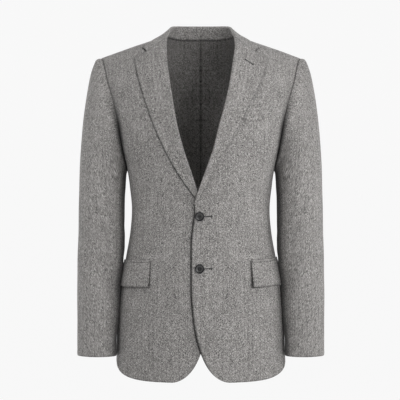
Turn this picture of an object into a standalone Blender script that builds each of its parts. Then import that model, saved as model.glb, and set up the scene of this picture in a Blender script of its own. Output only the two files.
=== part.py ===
"""Men's two-button blazer with notch lapels, filled out and hollow.

The origin is the middle of the neck's base, where a wearer's neck and shoulders hold
the jacket. +X is the wearer's left, -Y the front and +Z up.

Every panel is a thin wall. Its outline is drawn on the torso, a surface through the
rings of TORSO: u goes round it (0 centre front, 1 side, 2 centre back) and tau goes
down the cloth from the shoulder line. Panels are made on the wearer's left, and the
right ones are mirrored. The tables are in millimetres.
"""

import math
from collections import namedtuple

import bpy
import bmesh
from mathutils import Vector

MM = 0.001

# ---------------------------------------------------------------- cloth and seams
WALL = 1.6 * MM
SEAM_GAP = 0.34 * MM
LAYER_GAP = 0.6 * MM
LAPEL_GAP = 1.6 * MM
ROLL_GAP = 0.6 * MM
FRONT_LAYER_GAP = 1.2 * MM
FLAP_WALL = 2.4 * MM

# ---------------------------------------------------------------- torso
RING_POWER = 2.4
CAP_RADIUS = 170 * MM
NECK_POINT = (75 * MM, 4 * MM)
SHOULDER_SLOPE = 0.374
NECK_ROUNDING = 60 * MM
SHOULDER_POINT_X = 218 * MM
UNDERARM_DROP = 285 * MM

TORSO_COLUMNS = ("drop", "half_width", "front_depth", "back_depth")
TORSO_ROWS = (
    (0, 236, 110, 128),
    (60, 227, 117, 125),
    (120, 211, 127, 123),
    (180, 194, 133, 122),
    (240, 177, 134, 121),
    (285, 160.5, 132, 119),
    (330, 153.5, 128, 114),
    (375, 150, 123, 110),
    (425, 153.5, 119, 110),
    (480, 163.5, 120, 116),
    (540, 173, 122, 121),
    (600, 180, 124, 124),
    (660, 182.5, 126, 126),
    (740, 184.5, 127, 127),
)

# ---------------------------------------------------------------- fronts
BREAK_Z = -362 * MM
ROLL_COLUMNS = ("height", "left_x", "right_x")
ROLL_ROWS = (
    (-9, 75, 75),
    (-28, 75.5, 75.5),
    (-56, 71.5, 74.5),
    (-90, 66.5, 70),
    (-120, 61, 65.5),
    (-160, 51.5, 59),
    (-200, 40.5, 51.5),
    (-248, 28.5, 39),
    (-290, 14, 25),
    (-336, -3.5, 8.5),
    (-362, -11.5, -3),
)
LAPEL_EDGE_COLUMNS = ("height", "left_x", "right_x")
LAPEL_EDGE_ROWS = (
    (-53, 139.5, 139.5),
    (-74, 136, 136.5),
    (-111, 123, 126.5),
    (-144, 106, 116),
    (-184, 86, 102),
    (-225, 63.5, 85),
    (-270, 40.5, 62.5),
    (-315, 16, 36),
    (-345, -0.5, 14),
    (-361, -9, 1.5),
)
EDGE_SETTLING = (90 * MM, 40 * MM)
CUTAWAY_START = (-20 * MM, -545 * MM)
CUTAWAY_PULLS = ((-17 * MM, -630 * MM), (0 * MM, -735 * MM))
HEM_LOWEST = (62 * MM, -737 * MM)
GORGE_Z = -9 * MM
LAPEL_CORNER_Z = -53 * MM
LAPEL_FOOT_Z = -361 * MM
NOTCH_SHARE = 0.604
HEM_RISE = 38 * MM
HEM_RISE_POWER = 1.84
OVERLAP_FADE = (26 * MM, 62 * MM)
OVERLAP_TOP = (-305 * MM, -245 * MM)
LAPEL_TIP_Z = -347 * MM
LAPEL_TIP_REACH = 34 * MM
LAPEL_TIP_LAYER = 3.8 * MM
ROLL_RADIUS = 2.2 * MM
ROLL_RADIUS_AT_BREAK = LAPEL_GAP / 2
ROLL_SOFTENING = 90 * MM

# ---------------------------------------------------------------- seams on the torso
ARMHOLE_PULLS = ((0.60, 170 * MM), (0.66, 382 * MM))
ARMHOLE_STEPS = 12
SHOULDER_END_SHARE = 0.02
SEAM_FADE_SHARE = 0.25
SIDE_SEAM_STEP = 9
FRONT_SEAM_U = 0.82
BACK_SEAM_U = 1.30
BACK_NECK_DROP = 17 * MM
LOW_ROWS = 12
CUTAWAY_SHARES = (0.80, 0.69, 0.57, 0.43, 0.24, 0)
STRAIGHT_ROWS = 4
BREAK_ROWS = 3
NECK_ROWS = 2
FRONT_COLUMNS = (0, 0.05, 0.11, 0.20, 0.33, 0.48, 0.65, 0.82, 1)
BACK_NECK_COLUMNS = 6
BACK_SHOULDER_COLUMNS = 5

# ---------------------------------------------------------------- sleeves
SLEEVE_COLUMNS = ("ring", "inner_x", "inner_z", "outer_x", "outer_z", "half_depth", "forward")
SLEEVE_ROWS = (
    (0, 160.9, -285, 218.6, -45, 66, 0),
    (1, 161.2, -287.5, 229, -50.5, 66, 0),
    (2, 161.5, -290.5, 237, -70, 66, 0),
    (3, 161.8, -294, 243.5, -98, 66.5, 0),
    (4, 162, -298.5, 250.5, -138, 67, 1),
    (5, 162.3, -304, 256.5, -185, 67, 2),
    (6, 162.8, -312, 261, -240, 66, 3),
    (7, 163.3, -325, 263.5, -297, 64.5, 5),
    (8, 165, -350, 264.8, -345, 63, 7),
    (9, 165.5, -395, 265.5, -393, 61, 10),
    (10, 165, -440, 266.2, -440, 59, 13),
    (11, 168, -482, 267, -483, 57, 17),
    (12, 177, -530, 267.3, -530, 54, 22),
    (13, 177.2, -575, 267.2, -575, 51.5, 27),
    (14, 179.4, -620, 266.6, -620, 48.5, 33),
    (15, 181.2, -655, 266, -655, 46, 38),
    (16, 181, -687, 265.4, -686, 44, 43),
)
SLEEVE_DIVISIONS = 2 * ARMHOLE_STEPS
FOREARM_SEAM = 9
HINDARM_SEAM = 17
ARMHOLE_GAP = 0.45 * MM
ARMHOLE_FADE_RINGS = 3.0
HALF_SEAM_DIVISION = 0.02

# ---------------------------------------------------------------- collar
FOLD_COLUMNS = ("share_round_neck", "x", "y", "z")
FOLD_ROWS = (
    (0, 0, 53, 31),
    (20, 30, 48, 30.5),
    (40, 52, 31, 29),
    (60, 64, 8, 25),
    (80, 70, -15, 13),
    (100, 75, -38, -4),
)
LEAF_EDGE_COLUMNS = ("share_round_neck", "x", "y")
LEAF_EDGE_ROWS = (
    (0, 0, 75),
    (20, 42, 68),
    (40, 76, 44),
    (60, 91.5, 8),
    (80, 104, -18),
    (100, 124, -36),
)
COLLAR_CORNER = (124 * MM, -25.5 * MM)
COLLAR_FRONT_STEPS = 4
SHOULDER_SHARE = 60
NECK_CENTRE_Y = 5 * MM
COLLAR_FOOT_GAP = 0.8 * MM
GORGE_GAP = 0.45 * MM
COLLAR_STEP = 1.0 * MM
LEAF_CLEARANCE = 2.4 * MM
STAND_STEPS = 3
ROLL_STEPS = 4
LEAF_STEPS = 4
CORNER_STEPS = 2
FOLD_TURN = math.radians(150)
FOLD_RADIUS = 3.2 * MM
COLLAR_FADE = 22
LEAF_BULGE = -1 * MM

# ---------------------------------------------------------------- pockets
FLAP_FRONT = ((107 * MM, -486 * MM), (110 * MM, -537 * MM))
FLAP_END_U = 0.985
FLAP_CORNER = 9 * MM
FLAP_STAND_OFF = (0.6 * MM, 2.8 * MM)
JET_HEIGHT = 5 * MM
WELT_LOW = ((91 * MM, -191 * MM), (150 * MM, -184 * MM))
WELT_HEIGHT = 25 * MM
WELT_LEAN = (10 * MM, 2 * MM)
PATCH_COLUMNS = 6
PATCH_ROWS = 3
CORNER_STATIONS = (0, 0.3, 1)

# ---------------------------------------------------------------- buttons
BUTTON_PLACES = {"button_upper": -387.5 * MM, "button_lower": -498 * MM}
BUTTON_X = -2.5 * MM
BUTTON_RADIUS = 10 * MM
BUTTON_HEIGHT = 3.6 * MM
# each row: share of the radius, share of the height
BUTTON_PROFILE = (
    (0.55, 0),
    (0.9, 0.22),
    (1, 0.6),
    (0.95, 0.93),
    (0.89, 1),
    (0.78, 0.72),
)
BUTTON_HOLE_RADIUS = 1.0 * MM
BUTTON_HOLE_SPACING = 3.4 * MM
BUTTON_SIDES = 24
BUTTON_HOLE_SIDES = 7

CLOTH_COLOUR = (0.235, 0.225, 0.215, 1)
BUTTON_COLOUR = (0.018, 0.019, 0.022, 1)

QUARTER_TURN = math.pi / 2
CAP_LENGTH = CAP_RADIUS * QUARTER_TURN
SMALL_STEP = 1e-4
SEARCH_STEPS = 30
NORMAL_STEP = 0.01


class SizeTable:
    """Rows of sizes, read smoothly at any value of their first column."""

    def __init__(self, columns, rows):
        self.Sizes = namedtuple("Sizes", columns[1:])
        ordered = sorted(rows)
        self.keys = [row[0] for row in ordered]
        self.sizes = [[size * MM for size in row[1:]] for row in ordered]
        self.slopes = [self.slope(place) for place in range(len(ordered))]

    def slope(self, place):
        before = max(place - 1, 0)
        after = min(place + 1, len(self.keys) - 1)
        run = self.keys[after] - self.keys[before]
        return [(b - a) / run for a, b in zip(self.sizes[before], self.sizes[after])]

    def at(self, key):
        key = min(max(key, self.keys[0]), self.keys[-1])
        place = max(i for i in range(len(self.keys) - 1) if self.keys[i] <= key)
        run = self.keys[place + 1] - self.keys[place]
        t = (key - self.keys[place]) / run
        start_share = 1 - t * t * (3 - 2 * t)
        start_pull = run * t * (1 - t) ** 2
        end_pull = -run * t * t * (1 - t)
        rows = zip(self.sizes[place], self.sizes[place + 1], self.slopes[place], self.slopes[place + 1])
        return self.Sizes(*(
            a * start_share + b * (1 - start_share) + slope_a * start_pull + slope_b * end_pull
            for a, b, slope_a, slope_b in rows
        ))


TORSO = SizeTable(TORSO_COLUMNS, TORSO_ROWS)
ROLL = SizeTable(ROLL_COLUMNS, ROLL_ROWS)
LAPEL_EDGE = SizeTable(LAPEL_EDGE_COLUMNS, LAPEL_EDGE_ROWS)
SLEEVE = SizeTable(SLEEVE_COLUMNS, SLEEVE_ROWS)
FOLD = SizeTable(FOLD_COLUMNS, FOLD_ROWS)
LEAF_EDGE = SizeTable(LEAF_EDGE_COLUMNS, LEAF_EDGE_ROWS)


def mix(a, b, t):
    return a + (b - a) * t


def ease(t):
    t = min(max(t, 0.0), 1.0)
    return t * t * (3 - 2 * t)


def bezier(points, t):
    """A point at t on a curve through the first and last of four points."""
    shares = ((1 - t) ** 3, 3 * t * (1 - t) ** 2, 3 * t * t * (1 - t), t ** 3)
    return tuple(sum(share * point[axis] for share, point in zip(shares, points)) for axis in (0, 1))


def signed_power(value, power):
    return math.copysign(abs(value) ** power, value)


# ---------------------------------------------------------------- the torso surface
def shoulder_rise(x):
    """Height of the shoulder line at x."""
    neck_x, neck_z = NECK_POINT
    return neck_z + SHOULDER_SLOPE * (math.hypot(neck_x, NECK_ROUNDING) - math.hypot(x, NECK_ROUNDING))


def rise_share(drop):
    """How much of the shoulder's slope a ring still has at a drop below it."""
    return 1 - ease(drop / UNDERARM_DROP)


def drop_at(tau):
    if tau < CAP_LENGTH:
        return CAP_RADIUS * (1 - math.cos(tau / CAP_RADIUS))
    return CAP_RADIUS + tau - CAP_LENGTH


def tau_at(drop):
    if drop < CAP_RADIUS:
        return CAP_RADIUS * math.acos(1 - max(drop, 0) / CAP_RADIUS)
    return CAP_LENGTH + drop - CAP_RADIUS


def torso(u, tau):
    """The cloth's outer surface at u round the body and tau down it."""
    drop = drop_at(tau)
    half_width, front_depth, back_depth = TORSO.at(drop / MM)
    fullness = math.sin(min(tau / CAP_RADIUS, QUARTER_TURN))
    x = half_width * signed_power(math.sin(u * QUARTER_TURN), 2 / RING_POWER)
    toward_front = signed_power(math.cos(u * QUARTER_TURN), 2 / RING_POWER)
    depth = front_depth if toward_front > 0 else back_depth
    return Vector((x, -depth * toward_front * fullness, rise_share(drop) * shoulder_rise(x) - drop))


def torso_normal(u, tau):
    tau = max(tau, SMALL_STEP)
    along = torso(u + SMALL_STEP, tau) - torso(u - SMALL_STEP, tau)
    down = torso(u, tau + SMALL_STEP / 2) - torso(u, tau - SMALL_STEP / 2)
    return down.cross(along).normalized()


def off_torso(u, tau, height):
    """A point at a height off the torso's surface."""
    return torso(u, tau) + torso_normal(u, tau) * height


def u_at(x, drop):
    half_width = TORSO.at(drop / MM).half_width
    share = signed_power(min(max(x / half_width, -1), 1), RING_POWER / 2)
    return math.asin(share) / QUARTER_TURN


def place_on_front(x, z):
    """The place (u, tau) that is seen at x and z from the front."""
    drop = -z
    for _ in range(SEARCH_STEPS):
        drop = max(0.0, rise_share(drop) * shoulder_rise(x) - z)
    return u_at(x, drop), tau_at(drop)


def roof_height(x, y):
    """Height of the torso's upper surface above a place in plan."""
    low, high = 0.0, CAP_LENGTH
    for _ in range(SEARCH_STEPS):
        tau = (low + high) / 2
        drop = drop_at(tau)
        u = u_at(x, drop)
        reach = abs(torso(u if y < 0 else 2 - u, tau).y)
        low, high = (tau, high) if reach < abs(y) else (low, tau)
    return torso(u, tau).z


# ---------------------------------------------------------------- outlines in (u, tau)
def seam_start(u):
    """The tau that leaves half a seam's gap at the shoulder seam."""
    tau = SMALL_STEP
    while abs(torso(u, tau).y) < SEAM_GAP / 2:
        tau += SMALL_STEP
    return tau


SHOULDER_U = u_at(SHOULDER_POINT_X, 0)
NECK_U = u_at(NECK_POINT[0], 0)
UNDERARM_TAU = tau_at(UNDERARM_DROP)


def armhole(share, back=False):
    """The armhole seam, from the shoulder (share 0) down to the underarm (share 1)."""
    u, tau = bezier(((SHOULDER_U, 0), *ARMHOLE_PULLS, (1, UNDERARM_TAU)), share)
    tau = max(tau, seam_start(u)) if share < SHOULDER_END_SHARE else tau
    return (2 - u, tau) if back else (u, tau)


def back_neck(share):
    """The back neckline, from the centre back (share 0) to the shoulder seam (share 1)."""
    turn = share * QUARTER_TURN
    start = seam_start(NECK_U)
    return 2 - NECK_U * math.sin(turn), mix(start, tau_at(BACK_NECK_DROP), math.cos(turn))


def front_neck(share, side, gap=0.0):
    """The front neckline under the collar, from the shoulder seam to the gorge."""
    gorge = place_on_front(front_edge_x(GORGE_Z, side) + gap, GORGE_Z)
    return mix(NECK_U, gorge[0], share), mix(seam_start(NECK_U), gorge[1], share)


def cutaway(t):
    return bezier((CUTAWAY_START, *CUTAWAY_PULLS, HEM_LOWEST), t)


def cutaway_share(value, axis):
    """Where the cut-away curve reaches a value of x (axis 0) or z (axis 1)."""
    low, high = 0.0, 1.0
    rising = 1 if axis == 0 else -1
    for _ in range(SEARCH_STEPS):
        t = (low + high) / 2
        low, high = (t, high) if cutaway(t)[axis] * rising < value * rising else (low, t)
    return t


def front_edge_x(z, side):
    """The front's free edge below the neck: roll line, straight edge and cut-away."""
    if z >= BREAK_Z:
        return ROLL.at(z / MM)[side]
    if z <= CUTAWAY_START[1]:
        return cutaway(cutaway_share(z, 1))[0]
    settled = ease((BREAK_Z - z) / EDGE_SETTLING[side])
    return mix(ROLL.at(BREAK_Z / MM)[side], CUTAWAY_START[0], settled)


def hem_height(u):
    """The hem's height round the body, beyond the cut-away's curve."""
    turn = min(u, 1) * QUARTER_TURN
    return HEM_LOWEST[1] + HEM_RISE * (1 - math.cos(turn)) ** HEM_RISE_POWER


def hem_place(u):
    x = torso(u, tau_at(-hem_height(u))).x
    if u < 1 and x < HEM_LOWEST[0]:
        return place_on_front(x, cutaway(cutaway_share(x, 0))[1])
    return u, tau_at(-hem_height(u))


def under_layer(x, z):
    """How far the right front sinks beneath the left front, and beneath both lapels' tips."""
    near_edge = 1 - ease((x - OVERLAP_FADE[0]) / (OVERLAP_FADE[1] - OVERLAP_FADE[0]))
    below_break = 1 - ease((z - OVERLAP_TOP[0]) / (OVERLAP_TOP[1] - OVERLAP_TOP[0]))
    beside_tip = math.exp(-((z - LAPEL_TIP_Z) / LAPEL_TIP_REACH) ** 2)
    one_layer = WALL + FRONT_LAYER_GAP
    return near_edge * (one_layer * below_break + LAPEL_TIP_LAYER * beside_tip)


# ---------------------------------------------------------------- making solids
def cloth_material(name, colour, roughness):
    material = bpy.data.materials.new(name)
    material.use_nodes = True
    shader = material.node_tree.nodes["Principled BSDF"]
    shader.inputs["Base Color"].default_value = colour
    shader.inputs["Roughness"].default_value = roughness
    shader.inputs["Metallic"].default_value = 0.0
    return material


def add_object(name, vertices, faces, colour=CLOTH_COLOUR, roughness=0.9):
    mesh = bpy.data.meshes.new(name)
    mesh.from_pydata([tuple(v) for v in vertices], [], faces)
    body = bmesh.new()
    body.from_mesh(mesh)
    bmesh.ops.recalc_face_normals(body, faces=body.faces)
    body.to_mesh(mesh)
    body.free()
    mesh.materials.append(cloth_material(name, colour, roughness))
    mesh.shade_smooth()
    mesh.set_sharp_from_angle(angle=math.radians(40))
    piece = bpy.data.objects.new(name, mesh)
    bpy.context.scene.collection.objects.link(piece)
    return piece


def grid_normals(grid):
    """Normals of a grid of points, from each point's neighbours."""
    rows, columns = len(grid), len(grid[0])
    normals = []
    for i in range(rows):
        line = []
        for j in range(columns):
            along = grid[i][min(j + 1, columns - 1)] - grid[i][max(j - 1, 0)]
            up = grid[min(i + 1, rows - 1)][j] - grid[max(i - 1, 0)][j]
            line.append(along.cross(up).normalized())
        normals.append(line)
    return normals


def wall(name, grid, normals, thickness=WALL, mirror=False):
    """A closed wall: the grid of outer points, and the same moved in along the normals."""
    rows, columns = len(grid), len(grid[0])
    outer = [point for line in grid for point in line]
    inner = [
        point - normal * thickness
        for line, normal_line in zip(grid, normals)
        for point, normal in zip(line, normal_line)
    ]
    vertices = outer + inner
    if mirror:
        vertices = [Vector((-v.x, v.y, v.z)) for v in vertices]
    count = rows * columns
    faces = []
    for i in range(rows - 1):
        for j in range(columns - 1):
            a = i * columns + j
            quad = (a, a + 1, a + 1 + columns, a + columns)
            faces.append(quad)
            faces.append(tuple(corner + count for corner in reversed(quad)))
    rim = list(range(columns - 1))
    rim += [i * columns + columns - 1 for i in range(rows - 1)]
    rim += [(rows - 1) * columns + j for j in range(columns - 1, 0, -1)]
    rim += [i * columns for i in range(rows - 1, 0, -1)]
    for a, b in zip(rim, rim[1:] + rim[:1]):
        faces.append((b, a, a + count, b + count))
    return add_object(name, vertices, faces)


def coons(left, right, bottom, top, rows, columns):
    """A grid of places between four outlines, each a function of a share from 0 to 1."""
    corner = {(s, r): (left if s == 0 else right)(r) for s in (0, 1) for r in (0, 1)}
    grid = []
    for r in rows:
        line = []
        for s in columns:
            place = []
            for axis in (0, 1):
                across = mix(left(r)[axis], right(r)[axis], s)
                upward = mix(bottom(s)[axis], top(s)[axis], r)
                low = mix(corner[0, 0][axis], corner[1, 0][axis], s)
                high = mix(corner[0, 1][axis], corner[1, 1][axis], s)
                place.append(across + upward - mix(low, high, r))
            line.append(tuple(place))
        grid.append(line)
    return grid


def even(count):
    return [i / count for i in range(count + 1)]


def torso_wall(name, places, mirror, sink=None):
    """A torso panel from its grid of places."""
    grid, normals = [], []
    for line in places:
        points = []
        for u, tau in line:
            point = torso(u, tau)
            depth = sink(point.x, point.z) if sink and u < 1 else 0.0
            points.append(point - torso_normal(u, tau) * depth)
        grid.append(points)
        normals.append([torso_normal(u, tau) for u, tau in line])
    return wall(name, grid, normals, mirror=mirror)


# ---------------------------------------------------------------- torso panels
UPPER_ROWS = SIDE_SEAM_STEP
ROW_COUNT = LOW_ROWS + UPPER_ROWS
LOW_SHARE = LOW_ROWS / ROW_COUNT
CORNER_STEP = SIDE_SEAM_STEP / ARMHOLE_STEPS
HALF_SEAM_U = 0.0011


def side_seam(r, hem_u, back):
    """A side seam from the hem (r 0) up to the armhole (r 1)."""
    top_u, top_tau = armhole(CORNER_STEP, back)
    low_tau = hem_place(hem_u)[1]
    return mix(hem_u, top_u, r), mix(low_tau, top_tau, r)


def outer_outline(r, hem_u, shift, back):
    """A front's or back's outer outline: side seam, then armhole up to the shoulder."""
    if r <= LOW_SHARE:
        u, tau = side_seam(r / LOW_SHARE, hem_u, back)
        return u + shift, tau
    share = CORNER_STEP * (1 - (r - LOW_SHARE) / (1 - LOW_SHARE))
    u, tau = armhole(share, back)
    return u + shift * min(1, share / SEAM_FADE_SHARE), tau


def front_edge_rows():
    """Heights of a front's rows on its free edge, from the cut-away up to the gorge."""
    armhole_z = torso(*armhole(CORNER_STEP)).z
    heights = [cutaway(share)[1] for share in CUTAWAY_SHARES]
    for start, end, count in (
        (heights[-1], BREAK_Z, STRAIGHT_ROWS),
        (BREAK_Z, armhole_z, BREAK_ROWS),
        (armhole_z, GORGE_Z, UPPER_ROWS - NECK_ROWS),
    ):
        heights += [mix(start, end, share) for share in even(count)[1:]]
    return heights


def lapel_rows():
    """Shares of the roll line at which the front has rows."""
    return [(z - BREAK_Z) / (GORGE_Z - BREAK_Z) for z in front_edge_rows() if z > BREAK_Z - SMALL_STEP]


def front_panel(name, side, mirror):
    heights = front_edge_rows()

    def left(r):
        row = round(r * ROW_COUNT)
        if row >= len(heights):
            return front_neck((ROW_COUNT - row) / NECK_ROWS, side, ROLL_GAP)
        z = heights[row]
        gap = ROLL_GAP if heights[min(row + 1, len(heights) - 1)] > BREAK_Z - SMALL_STEP else 0.0
        return place_on_front(front_edge_x(z, side) + gap, z)

    def right(r):
        return outer_outline(r, FRONT_SEAM_U, -HALF_SEAM_U, False)

    def bottom(s):
        return hem_place(mix(left(0)[0], right(0)[0], s))

    def top(s):
        u = mix(NECK_U, SHOULDER_U, s)
        return u, seam_start(u)

    places = coons(left, right, bottom, top, even(ROW_COUNT), FRONT_COLUMNS)
    torso_wall(name, places, mirror, under_layer if side == 1 else None)


def side_panel(name, mirror):
    def left(r):
        u, tau = side_seam(r, FRONT_SEAM_U, False)
        return u + HALF_SEAM_U, tau

    def right(r):
        u, tau = side_seam(r, BACK_SEAM_U, True)
        return u - HALF_SEAM_U, tau

    def bottom(s):
        return hem_place(mix(FRONT_SEAM_U, BACK_SEAM_U, s))

    def top(s):
        depth = 1 - abs(2 * s - 1)
        return armhole(mix(CORNER_STEP, 1, depth), s > 0.5)

    columns = even(2 * (ARMHOLE_STEPS - SIDE_SEAM_STEP))
    torso_wall(name, coons(left, right, bottom, top, even(LOW_ROWS), columns), mirror)


def back_panel(name, mirror):
    neck_tau = tau_at(BACK_NECK_DROP)
    columns = BACK_NECK_COLUMNS + BACK_SHOULDER_COLUMNS

    def centre(tau):
        return 2 - u_at(SEAM_GAP / 2, drop_at(tau)), tau

    def right(r):
        return outer_outline(r, BACK_SEAM_U, HALF_SEAM_U, True)

    def left(r):
        if r <= LOW_SHARE:
            return centre(mix(hem_place(2)[1], armhole(CORNER_STEP)[1], r / LOW_SHARE))
        t = (r - LOW_SHARE) / (1 - LOW_SHARE)
        return centre(mix(armhole(CORNER_STEP)[1], neck_tau, t))

    def bottom(s):
        return hem_place(mix(left(0)[0], right(0)[0], s))

    def top(s):
        neck_end = BACK_NECK_COLUMNS / columns
        if s < neck_end:
            u, tau = back_neck(s / neck_end)
            return min(u, left(1)[0]), tau
        u = mix(NECK_U, SHOULDER_U, (s - neck_end) / (1 - neck_end))
        return 2 - u, seam_start(u)

    torso_wall(name, coons(left, right, bottom, top, even(ROW_COUNT), even(columns)), mirror)


# ---------------------------------------------------------------- lapels
def lapel_point(side, q, t, shift=(0.0, 0.0)):
    """The lapel's visible face at q up the roll line and t across it.

    t runs round the roll from -1 to 0, and from there to the outer edge at 1.
    """
    roll_z = mix(BREAK_Z, GORGE_Z, q)
    roll = Vector((front_edge_x(roll_z, side) + shift[0], roll_z + shift[1]))
    edge_z = mix(LAPEL_FOOT_Z, LAPEL_CORNER_Z, q)
    edge = Vector((LAPEL_EDGE.at(edge_z / MM)[side] + shift[0], edge_z + shift[1]))
    radius = mix(ROLL_RADIUS_AT_BREAK, ROLL_RADIUS, ease((roll_z - BREAK_Z) / ROLL_SOFTENING))
    reach = radius + WALL
    if t < 0:
        turn = (t + 0.5) * math.pi
        base = roll - (edge - roll).normalized() * reach * math.cos(turn)
        height = radius + reach * math.sin(turn)
    else:
        base = roll.lerp(edge, t)
        height = mix(LAPEL_GAP + WALL, radius + reach, (1 - t) ** 2)
    if side == 1:
        height -= under_layer(base.x, base.y)
    return off_torso(*place_on_front(base.x, base.y), height)


def lapel_normal(side, q, t):
    step = NORMAL_STEP
    across = lapel_point(side, q, t + step) - lapel_point(side, q, t - step)
    up = lapel_point(side, q + step, t) - lapel_point(side, q - step, t)
    return across.cross(up).normalized()


ROLL_SHARES = [step / (STAND_STEPS + ROLL_STEPS) - 1 for step in range(STAND_STEPS + ROLL_STEPS)]
GORGE_SHARES = [NOTCH_SHARE * step / LEAF_STEPS for step in range(LEAF_STEPS + 1)]
CORNER_SHARES = [mix(NOTCH_SHARE, 1, step / CORNER_STEPS) for step in range(1, CORNER_STEPS + 1)]


def lapel(name, side, mirror):
    across = ROLL_SHARES + GORGE_SHARES + CORNER_SHARES
    grid = [[lapel_point(side, q, t) for t in across] for q in lapel_rows()]
    normals = [[lapel_normal(side, q, t) for t in across] for q in lapel_rows()]
    wall(name, grid, normals, mirror=mirror)


# ---------------------------------------------------------------- collar
def collar_end():
    """The collar's front end: beside the lapel along the gorge, then up its own edge.

    Its visible face stands off the lapel's by COLLAR_STEP.
    """
    side = 0
    roll = Vector((front_edge_x(GORGE_Z, side), GORGE_Z))
    corner = Vector((LAPEL_EDGE.at(LAPEL_CORNER_Z / MM)[side], LAPEL_CORNER_Z))
    along = (corner - roll).normalized()
    shift = (-along.y * GORGE_GAP, along.x * GORGE_GAP)
    sunk = WALL - COLLAR_STEP
    points = []
    for t in ROLL_SHARES + GORGE_SHARES:
        points.append(lapel_point(side, 1, t, shift) - lapel_normal(side, 1, t) * sunk)
    notch = roll.lerp(corner, NOTCH_SHARE) + Vector(shift)
    tip = Vector(COLLAR_CORNER)
    for step in range(1, CORNER_STEPS + 1):
        base = notch.lerp(tip, step / CORNER_STEPS)
        points.append(off_torso(*place_on_front(base.x, base.y), LAPEL_GAP + COLLAR_STEP))
    return points


def neck_seam(share):
    if share < SHOULDER_SHARE:
        return torso(*back_neck(share / SHOULDER_SHARE))
    return torso(*front_neck((share - SHOULDER_SHARE) / (100 - SHOULDER_SHARE), 0))


def collar_section(share):
    """The collar's under face: up the stand, over the fold and down the leaf."""
    up = Vector((0, 0, 1))
    top = Vector(FOLD.at(share))
    inward = Vector((-top.x, NECK_CENTRE_Y - top.y, 0)).normalized()
    foot = neck_seam(share) + inward * WALL / 2 + up * COLLAR_FOOT_GAP
    centre = top - up * FOLD_RADIUS
    points = []
    for step in range(STAND_STEPS):
        points.append(foot.lerp(centre + inward * FOLD_RADIUS, step / STAND_STEPS))
    for step in range(ROLL_STEPS + 1):
        turn = FOLD_TURN * step / ROLL_STEPS
        points.append(centre + (inward * math.cos(turn) + up * math.sin(turn)) * FOLD_RADIUS)
    start = points[-1]
    edge_x, edge_y = LEAF_EDGE.at(share)
    edge = Vector((edge_x, edge_y, roof_height(edge_x, edge_y) + LEAF_CLEARANCE))
    middle = (start + edge) / 2 + (up - inward) * LEAF_BULGE
    steps = LEAF_STEPS + CORNER_STEPS
    for step in range(1, steps + 1):
        t = step / steps
        point = start.lerp(middle, t).lerp(middle.lerp(edge, t), t)
        point.z = max(point.z, roof_height(point.x, point.y) + LEAF_CLEARANCE)
        points.append(point)
    return points


def collar():
    end = collar_end()
    meeting = collar_section(100)
    half = []
    shares = [SHOULDER_SHARE * share for share in even(BACK_NECK_COLUMNS)]
    shares += [mix(SHOULDER_SHARE, 100, share) for share in even(COLLAR_FRONT_STEPS)[1:]]
    for share in shares:
        pull = ease((share - 100 + COLLAR_FADE) / COLLAR_FADE)
        section = collar_section(share)
        half.append([p + (e - m) * pull for p, e, m in zip(section, end, meeting)])
    mirrored = [[Vector((-p.x, p.y, p.z)) for p in section] for section in half[:0:-1]]
    grid = mirrored + half
    wall("collar", grid, grid_normals(grid))


# ---------------------------------------------------------------- sleeves
def plain_sleeve(ring, turn):
    """A sleeve of flattened rings: turn 0 is its outer edge, a quarter turn its front."""
    inner_x, inner_z, outer_x, outer_z, half_depth, forward = SLEEVE.at(ring)
    outward = (1 + math.cos(turn)) / 2
    y = -forward - half_depth * math.sin(turn)
    return Vector((mix(inner_x, outer_x, outward), y, mix(inner_z, outer_z, outward)))


def armhole_point(turn):
    share = (turn % (2 * math.pi)) / math.pi
    place = armhole(share) if share <= 1 else armhole(2 - share, True)
    return torso(*place) + Vector((ARMHOLE_GAP, 0, 0))


def sleeve_point(ring, turn):
    """The sleeve's outer face, which starts on the armhole seam."""
    point = plain_sleeve(ring, turn)
    pull = 1 - ease(ring / ARMHOLE_FADE_RINGS)
    if pull > 0:
        point += (armhole_point(turn) - plain_sleeve(0, turn)) * pull
    return point


def sleeve_normal(ring, turn):
    step = NORMAL_STEP
    last = SLEEVE_ROWS[-1][0]
    round_it = sleeve_point(ring, turn + step) - sleeve_point(ring, turn - step)
    down = sleeve_point(min(ring + step, last), turn) - sleeve_point(max(ring - step, 0), turn)
    return round_it.cross(down).normalized()


def sleeve_panel(name, first, last, mirror):
    divisions = [mix(first, last, share) for share in even(last - first)]
    divisions[0] += HALF_SEAM_DIVISION
    divisions[-1] -= HALF_SEAM_DIVISION
    turns = [2 * math.pi * place / SLEEVE_DIVISIONS for place in divisions]
    rings = [row[0] for row in SLEEVE_ROWS]
    grid = [[sleeve_point(ring, turn) for turn in turns] for ring in rings]
    normals = [[sleeve_normal(ring, turn) for turn in turns] for ring in rings]
    wall(name, grid, normals, mirror=mirror)


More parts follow.
